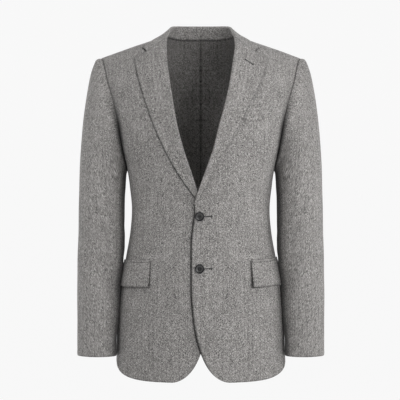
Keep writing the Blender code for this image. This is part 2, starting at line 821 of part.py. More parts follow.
# ---------------------------------------------------------------- pockets
def patch(name, front_x, end_u, top_z, bottom_z, heights, thickness, mirror, corner=0.0):
    """A strip of cloth on the torso, from a front edge at x back to end_u."""
    length = (torso(end_u, tau_at(-top_z)) - torso(*place_on_front(front_x[0], top_z))).length
    ends = [corner * share / length for share in CORNER_STATIONS] if corner else [0]
    middle = [mix(ends[-1], 1 - ends[-1], t) for t in even(PATCH_COLUMNS)[1:-1]]
    shares = ends + middle + [1 - share for share in reversed(ends)]
    grid = []
    for r in even(PATCH_ROWS):
        line = []
        for s in shares:
            from_end = min(s, 1 - s) * length
            lift = corner - math.sqrt(max(0.0, corner ** 2 - max(0.0, corner - from_end) ** 2))
            z = mix(top_z, bottom_z + lift, r)
            start_u = place_on_front(mix(front_x[0], front_x[1], r), z)[0]
            line.append(off_torso(mix(start_u, end_u, s), tau_at(-z), mix(heights[0], heights[1], r)))
        grid.append(line)
    normals = [[-normal for normal in line] for line in grid_normals(grid)]
    wall(name, grid, normals, thickness, mirror)


def flap(name, mirror):
    (top_x, top_z), (bottom_x, bottom_z) = FLAP_FRONT
    heights = [FLAP_WALL + gap for gap in FLAP_STAND_OFF]
    patch(name, (top_x, bottom_x), FLAP_END_U, top_z, bottom_z, heights, FLAP_WALL, mirror, FLAP_CORNER)


def pocket_jet(name, mirror):
    front_x, flap_top = FLAP_FRONT[0]
    low = flap_top + LAYER_GAP
    height = WALL + LAYER_GAP
    patch(name, (front_x, front_x), FLAP_END_U, low + JET_HEIGHT, low, (height, height), WALL, mirror)


def breast_welt():
    (inner_x, inner_z), (outer_x, outer_z) = WELT_LOW
    grid = []
    for r in even(2):
        line = []
        for s in even(5):
            x = mix(inner_x + WELT_LEAN[0] * r, outer_x + WELT_LEAN[1] * r, s)
            z = mix(inner_z, outer_z, s) + WELT_HEIGHT * r
            line.append(off_torso(*place_on_front(x, z), WALL + LAYER_GAP))
        grid.append(line)
    wall("breast_welt", grid, grid_normals(grid))


# ---------------------------------------------------------------- buttons
def button(name, z):
    u, tau = place_on_front(BUTTON_X, z)
    facing = torso_normal(u, tau)
    turn = facing.to_track_quat("Z", "Y")
    seat = off_torso(u, tau, SEAM_GAP)
    vertices, faces = [], []
    profile = [(radius * BUTTON_RADIUS, height * BUTTON_HEIGHT) for radius, height in BUTTON_PROFILE]
    for radius, height in profile:
        for step in range(BUTTON_SIDES):
            angle = 2 * math.pi * step / BUTTON_SIDES
            vertices.append(Vector((radius * math.cos(angle), radius * math.sin(angle), height)))
    for ring in range(len(profile) - 1):
        for step in range(BUTTON_SIDES):
            a = ring * BUTTON_SIDES + step
            b = ring * BUTTON_SIDES + (step + 1) % BUTTON_SIDES
            faces.append((a, b, b + BUTTON_SIDES, a + BUTTON_SIDES))
    for first, height in ((0, profile[0][1]), (BUTTON_SIDES * (len(profile) - 1), profile[-1][1])):
        vertices.append(Vector((0, 0, height)))
        for step in range(BUTTON_SIDES):
            faces.append((first + step, first + (step + 1) % BUTTON_SIDES, len(vertices) - 1))
    piece = add_object(name, vertices, faces, BUTTON_COLOUR, 0.25)
    piece.location = seat
    piece.rotation_mode = "QUATERNION"
    piece.rotation_quaternion = turn
    cutter = button_holes(name)
    cutter.parent = piece
    holes = piece.modifiers.new("holes", "BOOLEAN")
    holes.operation = "DIFFERENCE"
    holes.solver = "EXACT"
    holes.object = cutter


def button_holes(name):
    """Four drills through a button, hidden from renders."""
    drills = bmesh.new()
    for across in (-1, 1):
        for up in (-1, 1):
            place = Vector((across, up, 0)) * BUTTON_HOLE_SPACING / 2
            made = bmesh.ops.create_cone(
                drills,
                cap_ends=True,
                segments=BUTTON_HOLE_SIDES,
                radius1=BUTTON_HOLE_RADIUS,
                radius2=BUTTON_HOLE_RADIUS,
                depth=4 * BUTTON_HEIGHT,
            )
            bmesh.ops.translate(drills, verts=made["verts"], vec=place)
    mesh = bpy.data.meshes.new(name + "_drills")
    drills.to_mesh(mesh)
    drills.free()
    cutter = bpy.data.objects.new(name + "_drills", mesh)
    bpy.context.scene.collection.objects.link(cutter)
    cutter.hide_render = True
    cutter.display_type = "WIRE"
    return cutter


def clear_scene():
    for thing in list(bpy.data.objects):
        bpy.data.objects.remove(thing, do_unlink=True)


def build():
    clear_scene()
    for side, hand in enumerate(("left", "right")):
        mirror = hand == "right"
        front_panel(f"{hand}_front", side, mirror)
        side_panel(f"{hand}_side", mirror)
        back_panel(f"{hand}_back", mirror)
        lapel(f"{hand}_lapel", side, mirror)
        sleeve_panel(f"{hand}_top_sleeve", HINDARM_SEAM - SLEEVE_DIVISIONS, FOREARM_SEAM, mirror)
        sleeve_panel(f"{hand}_under_sleeve", FOREARM_SEAM, HINDARM_SEAM, mirror)
        flap(f"{hand}_flap", mirror)
        pocket_jet(f"{hand}_pocket_jet", mirror)
    collar()
    breast_welt()
    for name, z in BUTTON_PLACES.items():
        button(name, z)


build()
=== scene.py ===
"""Looks of the men's two-button blazer: fine cloth shells on the frame's form, woven wool,
folds, sewing, buttons and a pale studio.

Lengths are in metres in the frame's own axes: +X is the wearer's left, -Y the front, +Z up.
The cut's tables are in millimetres. Left and right pieces come from one function each, and
side is 0 for the wearer's left and 1 for the right.
"""

import math
from collections import namedtuple

import bmesh
import bpy
import numpy as np
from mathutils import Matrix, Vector


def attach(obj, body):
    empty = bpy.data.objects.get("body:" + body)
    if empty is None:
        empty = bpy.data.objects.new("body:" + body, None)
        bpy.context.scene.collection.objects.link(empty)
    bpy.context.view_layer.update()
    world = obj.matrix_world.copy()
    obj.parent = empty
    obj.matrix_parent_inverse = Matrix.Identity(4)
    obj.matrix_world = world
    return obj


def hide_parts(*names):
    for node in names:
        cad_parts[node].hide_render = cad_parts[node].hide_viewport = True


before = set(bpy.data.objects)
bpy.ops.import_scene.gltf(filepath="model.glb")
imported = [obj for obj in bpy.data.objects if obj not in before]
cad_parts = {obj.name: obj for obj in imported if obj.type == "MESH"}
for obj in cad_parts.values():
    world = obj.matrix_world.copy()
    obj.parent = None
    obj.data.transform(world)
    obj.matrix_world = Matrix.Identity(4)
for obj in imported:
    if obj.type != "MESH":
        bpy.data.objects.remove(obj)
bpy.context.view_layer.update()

MM = 0.001
SIDES = ("left", "right")
HANDS = ((1, 1, 1), (-1, 1, 1))

# ---------------------------------------------------------------- cloth
WALL = 1.6 * MM
FLAP_WALL = 2.4 * MM
LAYER_GAP = 0.5 * MM
LAPEL_GAP = 1.6 * MM
FRONT_LAYER_GAP = 1.2 * MM
MESH_STEP = 3.4 * MM

# ---------------------------------------------------------------- torso
RING_POWER = 2.4
CAP_RADIUS = 170 * MM
NECK_POINT = (75 * MM, 4 * MM)
SHOULDER_SLOPE = 0.374
NECK_ROUNDING = 60 * MM
SHOULDER_POINT_X = 218 * MM
UNDERARM_DROP = 285 * MM

TORSO_COLUMNS = ("drop", "half_width", "front_depth", "back_depth")
TORSO_ROWS = (
    (0, 236, 110, 128),
    (60, 227, 117, 125),
    (120, 211, 127, 123),
    (180, 194, 133, 122),
    (240, 177, 134, 121),
    (285, 160.5, 132, 119),
    (330, 153.5, 128, 114),
    (375, 150, 123, 110),
    (425, 153.5, 119, 110),
    (480, 163.5, 120, 116),
    (540, 173, 122, 121),
    (600, 180, 124, 124),
    (660, 182.5, 126, 126),
    (740, 184.5, 127, 127),
)

# ---------------------------------------------------------------- fronts and lapels
BREAK_Z = -362 * MM
ROLL_COLUMNS = ("height", "left_x", "right_x")
ROLL_ROWS = (
    (-9, 75, 75),
    (-28, 75.5, 75.5),
    (-56, 71.5, 74.5),
    (-90, 66.5, 70),
    (-120, 61, 65.5),
    (-160, 51.5, 59),
    (-200, 40.5, 51.5),
    (-248, 28.5, 39),
    (-290, 14, 25),
    (-336, -3.5, 8.5),
    (-362, -11.5, -3),
)
LAPEL_EDGE_COLUMNS = ("height", "left_x", "right_x")
LAPEL_EDGE_ROWS = (
    (-53, 139.5, 139.5),
    (-74, 136, 136.5),
    (-111, 123, 126.5),
    (-144, 106, 116),
    (-184, 86, 102),
    (-225, 63.5, 85),
    (-270, 40.5, 62.5),
    (-315, 16, 36),
    (-345, -0.5, 14),
    (-361, -9, 1.5),
)
EDGE_SETTLING = (90 * MM, 40 * MM)
CUTAWAY_START = (-20 * MM, -545 * MM)
CUTAWAY_PULLS = ((-17 * MM, -630 * MM), (0 * MM, -735 * MM))
HEM_LOWEST = (62 * MM, -737 * MM)
HEM_CORNER_SHARE = 0.80
CUTAWAY_MIDDLE_SHARE = 0.43
FREE_EDGE_STATIONS = (0, 0.12, 0.24, 0.43)
FRONT_EDGE_FADE = 25 * MM
GORGE_Z = -9 * MM
LAPEL_CORNER_Z = -53 * MM
LAPEL_FOOT_Z = -361 * MM
NOTCH_SHARE = 0.604
HEM_RISE = 38 * MM
HEM_RISE_POWER = 1.84
OVERLAP_FADE = (26 * MM, 62 * MM)
OVERLAP_TOP = (-305 * MM, -245 * MM)
LAPEL_TIP_Z = -347 * MM
LAPEL_TIP_REACH = 34 * MM
LAPEL_TIP_LAYER = 3.8 * MM
ROLL_RADIUS = 2.2 * MM
ROLL_RADIUS_AT_BREAK = LAPEL_GAP / 2
ROLL_SOFTENING = 90 * MM
LAPEL_EDGE_LIFT = 0.8 * MM
LAPEL_CALM_WIDTH = 0.3
LAPEL_CALM_FOOT = 0.15
LAPEL_ROLL_STEPS = 12

# ---------------------------------------------------------------- seams on the torso
ARMHOLE_PULLS = ((0.60, 170 * MM), (0.66, 382 * MM))
FRONT_SEAM_U = 0.82
BACK_SEAM_U = 1.30
CORNER_STEP = 0.75
BACK_NECK_DROP = 17 * MM
LOW_SHARE = 0.57
NECK_SHARE = 0.095
BACK_NECK_SHARE = 0.52
ARMHOLE_SHADE_FADE = 0.04

# ---------------------------------------------------------------- sleeves
SLEEVE_COLUMNS = ("ring", "inner_x", "inner_z", "outer_x", "outer_z", "half_depth", "forward")
SLEEVE_ROWS = (
    (0, 160.9, -285, 218.6, -45, 66, 0),
    (1, 161.2, -287.5, 229, -50.5, 66, 0),
    (2, 161.5, -290.5, 237, -70, 66, 0),
    (3, 161.8, -294, 243.5, -98, 66.5, 0),
    (4, 162, -298.5, 250.5, -138, 67, 1),
    (5, 162.3, -304, 256.5, -185, 67, 2),
    (6, 162.8, -312, 261, -240, 66, 3),
    (7, 163.3, -325, 263.5, -297, 64.5, 5),
    (8, 165, -350, 264.8, -345, 63, 7),
    (9, 165.5, -395, 265.5, -393, 61, 10),
    (10, 165, -440, 266.2, -440, 59, 13),
    (11, 168, -482, 267, -483, 57, 17),
    (12, 177, -530, 267.3, -530, 54, 22),
    (13, 177.2, -575, 267.2, -575, 51.5, 27),
    (14, 179.4, -620, 266.6, -620, 48.5, 33),
    (15, 181.2, -655, 266, -655, 46, 38),
    (16, 181, -687, 265.4, -686, 44, 43),
)
LAST_RING = SLEEVE_ROWS[-1][0]
FOREARM_TURN = math.radians(135)
HINDARM_TURN = math.radians(255)
ARMHOLE_FADE_RINGS = 3.0
SLEEVE_RADIUS = 52 * MM
TOP_GRAIN_TURN = math.radians(60)
HEAD_CALM_RINGS = 1.5
CUFF_CALM_RINGS = 1.0

# ---------------------------------------------------------------- collar
FOLD_COLUMNS = ("share_round_neck", "x", "y", "z")
FOLD_ROWS = (
    (0, 0, 53, 31),
    (20, 30, 48, 30.5),
    (40, 52, 31, 29),
    (60, 64, 8, 25),
    (80, 70, -15, 13),
    (100, 75, -38, -4),
)
LEAF_EDGE_COLUMNS = ("share_round_neck", "x", "y")
LEAF_EDGE_ROWS = (
    (0, 0, 75),
    (20, 42, 68),
    (40, 76, 44),
    (60, 91.5, 8),
    (80, 104, -18),
    (100, 124, -36),
)
COLLAR_CORNER = (124 * MM, -25.5 * MM)
SHOULDER_SHARE = 60
NECK_CENTRE_Y = 5 * MM
COLLAR_FOOT_GAP = 0.2 * MM
GORGE_GAP = 0.25 * MM
LEAF_CLEARANCE = 2.4 * MM
STAND_END, ROLL_END, NOTCH_END, SECTION_END = 3, 7, 11, 13
FOLD_TURN = math.radians(150)
FOLD_RADIUS = 3.2 * MM
COLLAR_FADE = 22
LEAF_BULGE = -1 * MM

# ---------------------------------------------------------------- pockets
FLAP_FRONT = ((107 * MM, -486 * MM), (110 * MM, -537 * MM))
FLAP_END_U = 0.985
FLAP_CORNER = 2.5 * MM
FLAP_STAND_OFF = (0.6 * MM, 1.7 * MM)
FLAP_FRONT_LIFT = (3.2 * MM, 0.5 * MM)
FLAP_SLANT = (4 * MM, -2 * MM)
FLAP_LIFT_SHARE = 0.45
FLAP_REACH = 62 * MM
JET_HEIGHT = 5 * MM
WELT_LOW = ((91 * MM, -191 * MM), (150 * MM, -184 * MM))
WELT_HEIGHT = 25 * MM
WELT_LEAN = (10 * MM, 2 * MM)
WELT_STAND_OFF = 0.9 * MM

# ---------------------------------------------------------------- buttons and buttonholes
BUTTON_PLACES = {"button_upper": -387.5 * MM, "button_lower": -498 * MM}
BUTTON_X = -2.5 * MM
BUTTON_SEAT = 0.34 * MM
BUTTON_RADIUS = 10 * MM
BUTTON_HEIGHT = 3.6 * MM
BUTTON_SEGMENTS = 72
BUTTON_HOLE_RADIUS = 0.95 * MM
BUTTON_HOLE_SPACING = 3.4 * MM
HOLE_SEGMENTS = 20
BUTTON_CREASE = math.radians(50)
BUTTON_FLOOR_SHARE = 0.545
# Where the button's colour turns lighter, as shares of its radius: a painted highlight ring on the dish's
# slope.
PAINTED_HIGHLIGHT_RING = (0.34, 0.74)
PAINTED_HIGHLIGHT_SOFTNESS = 0.12
BUTTON_THREAD_STEP = 0.36 * MM
BUTTON_THREAD_SINK = 0.4 * MM
BUTTON_THREAD_ARCH = 0.85 * MM
BUTTONHOLE_X = (-1 * MM, 21.5 * MM)
BUTTONHOLE_LIFT = 0.1 * MM
LAPEL_HOLE = ((0.9035, 0.345), (0.905, 0.59))
STITCH_PITCH = 0.62 * MM
STITCH_LENGTH = 1.1 * MM
STITCH_FALL = 0.25 * MM
STITCH_ARCH = 0.32 * MM
THREAD_RADIUS = 0.3 * MM
EYELET_RADIUS = 0.9 * MM
EYELET_STITCHES = 11
EYELET_TURNS = (75, 21)
BAR_TACK_HEIGHT = 5.6 * MM
BAR_TACK_THREADS = 6
BAR_TACK_START = 0.2 * MM
BAR_TACK_STEP = 0.46 * MM
BAR_TACK_SINK = 0.2 * MM
BAR_TACK_ARCH = 0.6 * MM
BAR_TACK_THREAD_RADIUS = 1.15 * THREAD_RADIUS
SLIT_CLEARANCE = 0.12 * MM
SLIT_EYELET = ((-0.6 * MM, 0.7 * MM), (1.2 * MM, 0.45 * MM))
SLIT_HALF_WIDTH = 0.4 * MM
SLIT_LEVELS = (-0.35 * MM, 0.12 * MM)

# ---------------------------------------------------------------- relief of the cloth
SEAM_DEPTH = 0.9 * MM
SEAM_HALF_WIDTH = 1.7 * MM
SLEEVE_HEAD_RISE = 0.9 * MM
SLEEVE_HEAD_WIDTH = 8 * MM
UNDERARM_START = -95 * MM
UNDERARM_FADE = 115 * MM
REST_TURN, REST_WIDTH = 180, 27
REST_TOP, REST_BOTTOM = (-478 * MM, -492 * MM), (-600 * MM, -650 * MM)
REST_UNDER_ARM = (-282 * MM, -298 * MM)
REST_CLEARANCE = 0.15 * MM
REST_FLAP_FADE = 4 * MM
REST_MOST = 6 * MM
FOLD_SHARE = 0.5
FOLD_RUN_OUT = 0.12
FOLD_START_FADE, FOLD_END_FADE = 0.4, 0.5
FOLD_SIDE_DIP = 0.6
FOLD_SPREAD = 1.3
SWELL_SHARE = 0.5
SWELL_DOWN_PHASE = 1.7
SWELL_DEPTH_SHARE = 0.7
LAPEL_SWELL_SHARE = 0.5
FACING_START, FACING_RANGE = 0.12, 0.5
BUTTONED_HALF_WIDTH = 16 * MM
BUTTONED_FLATNESS = 0.85
EDGE_ROUNDING = 0.45 * MM
EDGE_HALF_WIDTH = 1.3 * MM
RIM_BULGE = 0.45
CLOTH_CREASE = math.radians(62)
TURNED_RIDGE = 0.3 * MM
TURNED_WIDTH = 8 * MM
TURNED_SOFTNESS = 3 * MM

# Folds on the fronts and back start and end at an x, those on the sleeves at a turn in degrees.
Fold = namedtuple("Fold", ("start_across", "start_z", "end_across", "end_z", "bend", "width", "height"))
FRONT_FOLDS = (
    (16, -384, 120, -342, 6, 12, 0.9),
    (18, -398, 128, -412, -5, 13, -0.8),
    (16, -410, 104, -470, -8, 12, 0.7),
    (-22, -384, -112, -345, -5, 11, 0.9),
    (-24, -396, -128, -404, 4, 12, -0.9),
    (-26, -412, -100, -466, 7, 13, 0.7),
    (170, -112, 148, -262, 9, 15, -1.7),
    (156, -150, 136, -300, 7, 13, 1.2),
    (-172, -108, -150, -250, -8, 14, -1.5),
    (-158, -158, -134, -296, -8, 14, 1.3),
    (148, -300, 96, -392, 8, 14, -1.1),
    (-146, -304, -92, -388, -9, 15, -1.2),
    (58, -560, 70, -722, 5, 22, 1.3),
    (112, -575, 124, -712, -4, 24, -1.5),
    (-64, -566, -52, -718, -6, 24, 1.2),
    (-118, -582, -130, -706, 5, 21, -1.4),
    (30, -430, 26, -486, 3, 10, -0.5),
    (-30, -426, -24, -490, -3, 10, -0.5),
)
BACK_FOLDS = (
    (150, -96, 124, -270, -10, 18, 2.0),
    (128, -120, 104, -300, -9, 16, -1.3),
    (-148, -92, -126, -262, 9, 17, 1.9),
    (-130, -128, -100, -296, 10, 17, -1.4),
    (96, -376, 8, -402, 6, 13, -1.2),
    (-88, -384, -10, -398, 5, 12, -1.1),
    (118, -404, 26, -424, 7, 12, 1.0),
    (-112, -398, -30, -428, 7, 13, 0.9),
    (64, -470, 78, -706, 6, 26, 1.8),
    (112, -500, 126, -700, -6, 24, -1.9),
    (-58, -462, -72, -702, -6, 25, 1.7),
    (-116, -506, -130, -696, 5, 26, -1.8),
    (20, -60, 60, -110, 5, 12, -0.7),
    (-22, -62, -58, -106, -5, 12, -0.7),
)
SLEEVE_FOLDS = {
    "left": (
        (118, -300, 46, -330, 8, 12, -1.3),
        (132, -350, 30, -362, 7, 11, 1.1),
        (128, -398, 62, -408, -6, 9, -1.5),
        (124, -424, 40, -446, -8, 12, 1.2),
        (112, -470, 30, -520, 9, 14, -1.0),
        (20, -120, 70, -250, 8, 15, 1.2),
        (96, -130, 112, -236, -7, 13, -1.3),
        (60, -560, 120, -640, 8, 16, 1.0),
        (-62, -360, -110, -380, 6, 12, -1.6),
        (-40, -410, -112, -424, 7, 12, 1.4),
        (-55, -446, -100, -474, 7, 13, -1.3),
        (-70, -150, -100, -260, 8, 15, 1.3),
        (-30, -560, -70, -650, 8, 17, -1.0),
        (170, -410, 215, -430, 6, 12, -1.5),
        (165, -460, 220, -452, 6, 12, 1.2),
    ),
    "right": (
        (120, -310, 52, -322, 6, 10, -1.2),
        (130, -372, 38, -352, -7, 12, 1.0),
        (126, -414, 50, -432, 7, 11, -1.2),
        (116, -456, 36, -470, -6, 13, 1.0),
        (104, -520, 40, -590, 8, 15, -0.9),
        (30, -140, 64, -262, 7, 15, 1.1),
        (100, -122, 116, -228, -8, 12, -1.4),
        (50, -640, 118, -600, -8, 15, 1.1),
        (-58, -352, -108, -372, 6, 13, -1.5),
        (-44, -402, -110, -432, 7, 12, 1.5),
        (-50, -460, -104, -466, 6, 12, -1.2),
        (-66, -140, -96, -250, 8, 16, 1.2),
        (-28, -590, -76, -640, 8, 16, -1.0),
        (172, -398, 218, -424, 6, 12, -1.4),
        (168, -448, 214, -462, 6, 12, 1.2),
    ),
}
Swell = namedtuple("Swell", ("across_wave", "down_wave", "phase", "height"))
SWELLS = (
    Swell(93, 210, 0.4, 0.42),
    Swell(61, 148, 2.1, 0.26),
    Swell(143, 97, 4.0, 0.36),
    Swell(47, 83, 1.2, 0.14),
)

# ---------------------------------------------------------------- colours and weave
WOOL_DARK = (0.041, 0.039, 0.038, 1)
WOOL_MIDDLE = (0.240, 0.231, 0.224, 1)
WOOL_LIGHT = (0.56, 0.543, 0.526, 1)
WOOL_TONE = 0.46
HERRINGBONE_COLUMN = 9.5
SPINE_WIDTH, SPINE_SOFTNESS, SPINE_DARKNESS = 1.1, 0.3, 0.09
TWILL_PITCH = 3.1
YARN_PITCH = 1.3
FLOAT_LENGTH = 1.4
SALT = 0.52
FLECK = 1.0
LINE_TONE, YARN_TONE, STREAK_TONE, CLOUD_TONE = 0.22, 0.8, 0.2, 0.22
FLECK_SCALE, YARN_SCALE, STREAK_SCALE, CLOUD_SCALE = 0.52, 1.35, 0.20, 0.022
STREAK_STRETCH = (1, 0.05, 1)
CLOUD_DETAIL = 2.0
LINE_BUMP, YARN_BUMP, FLECK_BUMP = 0.10, 0.22, 0.30
WOOL_BUMP = {"Strength": 0.16, "Distance": 1.0 * MM}
WOOL_SURFACE = {
    "Roughness": 0.92,
    "Specular IOR Level": 0.22,
    "Sheen Weight": 0.12,
    "Sheen Roughness": 0.45,
}
THREAD_SURFACE = {"Roughness": 0.62, "Sheen Weight": 0.1}
RESIN_SURFACE = {
    "Roughness": 0.3,
    "Specular IOR Level": 0.25,
    "Coat Weight": 0.3,
    "Coat Roughness": 0.1,
}
THREAD_COLOUR = (0.035, 0.034, 0.034, 1)
THREAD_DARK_SHARE, THREAD_LIGHT_SHARE = 0.55, 1.7
# Near black of the sheets in the buttonhole slits: a painted shadow.
SLIT_SHADOW_COLOUR = (0.008, 0.008, 0.008, 1)
BUTTON_DARK = (0.004, 0.0042, 0.005, 1)
BUTTON_LIGHT = (0.018, 0.0185, 0.021, 1)
# The lighter colour of that ring on the buttons: a painted highlight.
BUTTON_PAINTED_HIGHLIGHT = (0.055, 0.054, 0.053, 1)
BACKDROP_COLOUR = (0.04, 0.04, 0.04, 1)
BACKDROP_GLOW = 0.915

# ---------------------------------------------------------------- columns of a cut, and sizes of the meshes, in metres
Cut = namedtuple("Cut", ("width", "length", "area"))
# Heights and widths that the meshes' steps are shared over, in metres.
FRONT_MESH = (0.80, 0.26)
SIDE_MESH = (0.45, 0.17)
BACK_MESH = (0.76, 0.26)
LAPEL_MESH = (0.36, 0.085)
SLEEVE_MESH_LENGTH = 0.66
TOP_SLEEVE_MESH_WIDTH = 0.25
UNDER_SLEEVE_MESH_WIDTH = 0.13

# ---------------------------------------------------------------- camera and studio
CAMERA_PLACE = (-0.0017, -3.5, -0.353)
SENSOR = 36
VIEW_WIDTH = 0.872
FLOOR_Z = -1.45
Lamp = namedtuple("Lamp", ("place", "size", "power"))
LAMPS = {
    "key": Lamp((0.9, -1.4, 0.1), (1.0, 1.2), 12.4),
    "right_side": Lamp((2.4, -0.7, 0.1), (1.2, 1.6), 23.5),
    "left_side": Lamp((-2.4, -0.9, 0.1), (1.2, 1.6), 6.6),
    "top": Lamp((-1.1, -0.9, 2.0), (1.4, 1.2), 35),
}
LIT_PLACE = (0, 0, -0.35)
AIR_GLOW = 0.2
WHITE = (1, 1, 1, 1)

QUARTER_TURN = math.pi / 2
CAP_LENGTH = CAP_RADIUS * QUARTER_TURN
SMALL_STEP = 1e-4
NORMAL_STEP = 0.01
SEARCH_STEPS = 30


# ================================================================ reading the tables
class SizeTable:
    """Rows of sizes, read smoothly at any values of their first column."""

    def __init__(self, columns, rows):
        self.Sizes = namedtuple("Sizes", columns[1:])
        table = np.array(sorted(rows), float)
        self.keys = table[:, 0]
        self.sizes = table[:, 1:] * MM
        places = np.arange(len(table))
        before = np.maximum(places - 1, 0)
        after = np.minimum(places + 1, len(table) - 1)
        run = (self.keys[after] - self.keys[before])[:, None]
        self.slopes = (self.sizes[after] - self.sizes[before]) / run

    def at(self, key):
        key = np.clip(np.asarray(key, float), self.keys[0], self.keys[-1])
        place = np.clip(np.searchsorted(self.keys, key, side="right") - 1, 0, len(self.keys) - 2)
        run = (self.keys[place + 1] - self.keys[place])[..., None]
        t = (key - self.keys[place])[..., None] / run
        start_share = 1 - t * t * (3 - 2 * t)
        values = self.sizes[place] * start_share + self.sizes[place + 1] * (1 - start_share)
        values = values + self.slopes[place] * run * t * (1 - t) ** 2
        values = values - self.slopes[place + 1] * run * t * t * (1 - t)
        return self.Sizes(*np.moveaxis(values, -1, 0))


TORSO = SizeTable(TORSO_COLUMNS, TORSO_ROWS)
ROLL = SizeTable(ROLL_COLUMNS, ROLL_ROWS)
LAPEL_EDGE = SizeTable(LAPEL_EDGE_COLUMNS, LAPEL_EDGE_ROWS)
SLEEVE = SizeTable(SLEEVE_COLUMNS, SLEEVE_ROWS)
FOLD = SizeTable(FOLD_COLUMNS, FOLD_ROWS)
LEAF_EDGE = SizeTable(LEAF_EDGE_COLUMNS, LEAF_EDGE_ROWS)


def mix(a, b, t):
    return a + (b - a) * t


def ease(t):
    t = np.clip(t, 0.0, 1.0)
    return t * t * (3 - 2 * t)


def bell(distance, half_width):
    return np.exp(-(distance / half_width) ** 2)


def bezier(points, t):
    """Points at t on a curve through the first and last of four points."""
    shares = ((1 - t) ** 3, 3 * t * (1 - t) ** 2, 3 * t * t * (1 - t), t ** 3)
    return tuple(sum(share * point[axis] for share, point in zip(shares, points)) for axis in (0, 1))


def signed_power(value, power):
    return np.sign(value) * np.abs(value) ** power


def unit(vectors):
    return vectors / np.maximum(np.linalg.norm(vectors, axis=-1, keepdims=True), 1e-12)


def point(x, y, z):
    return np.stack(np.broadcast_arrays(x, y, z), -1)


# ================================================================ the torso surface
def shoulder_rise(x):
    neck_x, neck_z = NECK_POINT
    return neck_z + SHOULDER_SLOPE * (math.hypot(neck_x, NECK_ROUNDING) - np.hypot(x, NECK_ROUNDING))


def rise_share(drop):
    return 1 - ease(drop / UNDERARM_DROP)


def drop_at(tau):
    on_cap = CAP_RADIUS * (1 - np.cos(np.minimum(tau, CAP_LENGTH) / CAP_RADIUS))
    return on_cap + np.maximum(tau - CAP_LENGTH, 0)


def tau_at(drop):
    share = np.clip(drop / CAP_RADIUS, 0, 1)
    return CAP_RADIUS * np.arccos(1 - share) + np.maximum(drop - CAP_RADIUS, 0)


def torso(u, tau):
    """The cloth's outer surface at u round the body and tau down it."""
    drop = drop_at(tau)
    ring = TORSO.at(drop / MM)
    fullness = np.sin(np.minimum(tau / CAP_RADIUS, QUARTER_TURN))
    x = ring.half_width * signed_power(np.sin(u * QUARTER_TURN), 2 / RING_POWER)
    toward_front = signed_power(np.cos(u * QUARTER_TURN), 2 / RING_POWER)
    depth = np.where(toward_front > 0, ring.front_depth, ring.back_depth)
    return point(x, -depth * toward_front * fullness, rise_share(drop) * shoulder_rise(x) - drop)


def torso_normal(u, tau):
    tau = np.maximum(tau, SMALL_STEP)
    along = torso(u + SMALL_STEP, tau) - torso(u - SMALL_STEP, tau)
    down = torso(u, tau + SMALL_STEP / 2) - torso(u, tau - SMALL_STEP / 2)
    return unit(np.cross(down, along))


def off_torso(u, tau, height):
    return torso(u, tau) + torso_normal(u, tau) * np.asarray(height)[..., None]


def u_at(x, drop):
    half_width = TORSO.at(drop / MM).half_width
    return np.arcsin(signed_power(np.clip(x / half_width, -1, 1), RING_POWER / 2)) / QUARTER_TURN


def place_on_front(x, z):
    """The places (u, tau) that are seen at x and z from the front."""
    drop = -np.asarray(z, float)
    for _ in range(SEARCH_STEPS):
        drop = np.maximum(0.0, rise_share(drop) * shoulder_rise(x) - z)
    return u_at(x, drop), tau_at(drop)


def roof_height(x, y):
    """Height of the torso's upper surface above places in plan."""
    low = np.zeros(np.shape(x))
    high = np.full(np.shape(x), CAP_LENGTH)
    for _ in range(SEARCH_STEPS):
        tau = (low + high) / 2
        u = u_at(x, drop_at(tau))
        inside = np.abs(torso(np.where(y < 0, u, 2 - u), tau)[..., 1]) < np.abs(y)
        low = np.where(inside, tau, low)
        high = np.where(inside, high, tau)
    return torso(u, tau)[..., 2]


# ================================================================ outlines in (u, tau)
SHOULDER_U = float(u_at(SHOULDER_POINT_X, 0.0))
NECK_U = float(u_at(NECK_POINT[0], 0.0))
UNDERARM_TAU = float(tau_at(UNDERARM_DROP))


def armhole(share, back=False):
    u, tau = bezier(((SHOULDER_U, 0), *ARMHOLE_PULLS, (1, UNDERARM_TAU)), share)
    return (2 - u, tau) if back else (u, tau)


def back_neck(share):
    turn = share * QUARTER_TURN
    return 2 - NECK_U * np.sin(turn), float(tau_at(BACK_NECK_DROP)) * np.cos(turn)


def cutaway(t):
    return bezier((CUTAWAY_START, *CUTAWAY_PULLS, HEM_LOWEST), t)


def cutaway_share(value, axis):
    """Where the cut-away curve reaches values of x (axis 0) or z (axis 1)."""
    rising = 1 if axis == 0 else -1
    low = np.zeros(np.shape(value))
    high = np.ones(np.shape(value))
    for _ in range(SEARCH_STEPS):
        t = (low + high) / 2
        below = cutaway(t)[axis] * rising < value * rising
        low = np.where(below, t, low)
        high = np.where(below, high, t)
    return t


def front_edge_x(z, side):
    """The front's free edge: roll line, straight edge and cut-away."""
    z = np.asarray(z, float)
    settled = ease((BREAK_Z - z) / EDGE_SETTLING[side])
    straight = mix(ROLL.at(BREAK_Z / MM)[side], CUTAWAY_START[0], settled)
    on_curve = cutaway(cutaway_share(z, 1))[0]
    below = np.where(z <= CUTAWAY_START[1], on_curve, straight)
    return np.where(z >= BREAK_Z, ROLL.at(z / MM)[side], below)


def gorge_line(side):
    """A lapel's top edge in x and z: the roll line's top end and the lapel's corner."""
    corner_x = LAPEL_EDGE.at(LAPEL_CORNER_Z / MM)[side]
    roll = np.array((float(front_edge_x(GORGE_Z, side)), GORGE_Z))
    return roll, np.array((float(corner_x), LAPEL_CORNER_Z))


def front_neck(share, side):
    gorge = place_on_front(front_edge_x(GORGE_Z, side), GORGE_Z)
    return mix(NECK_U, gorge[0], share), mix(0.0, gorge[1], share)


def hem_height(u):
    turn = np.minimum(u, 1) * QUARTER_TURN
    return HEM_LOWEST[1] + HEM_RISE * (1 - np.cos(turn)) ** HEM_RISE_POWER


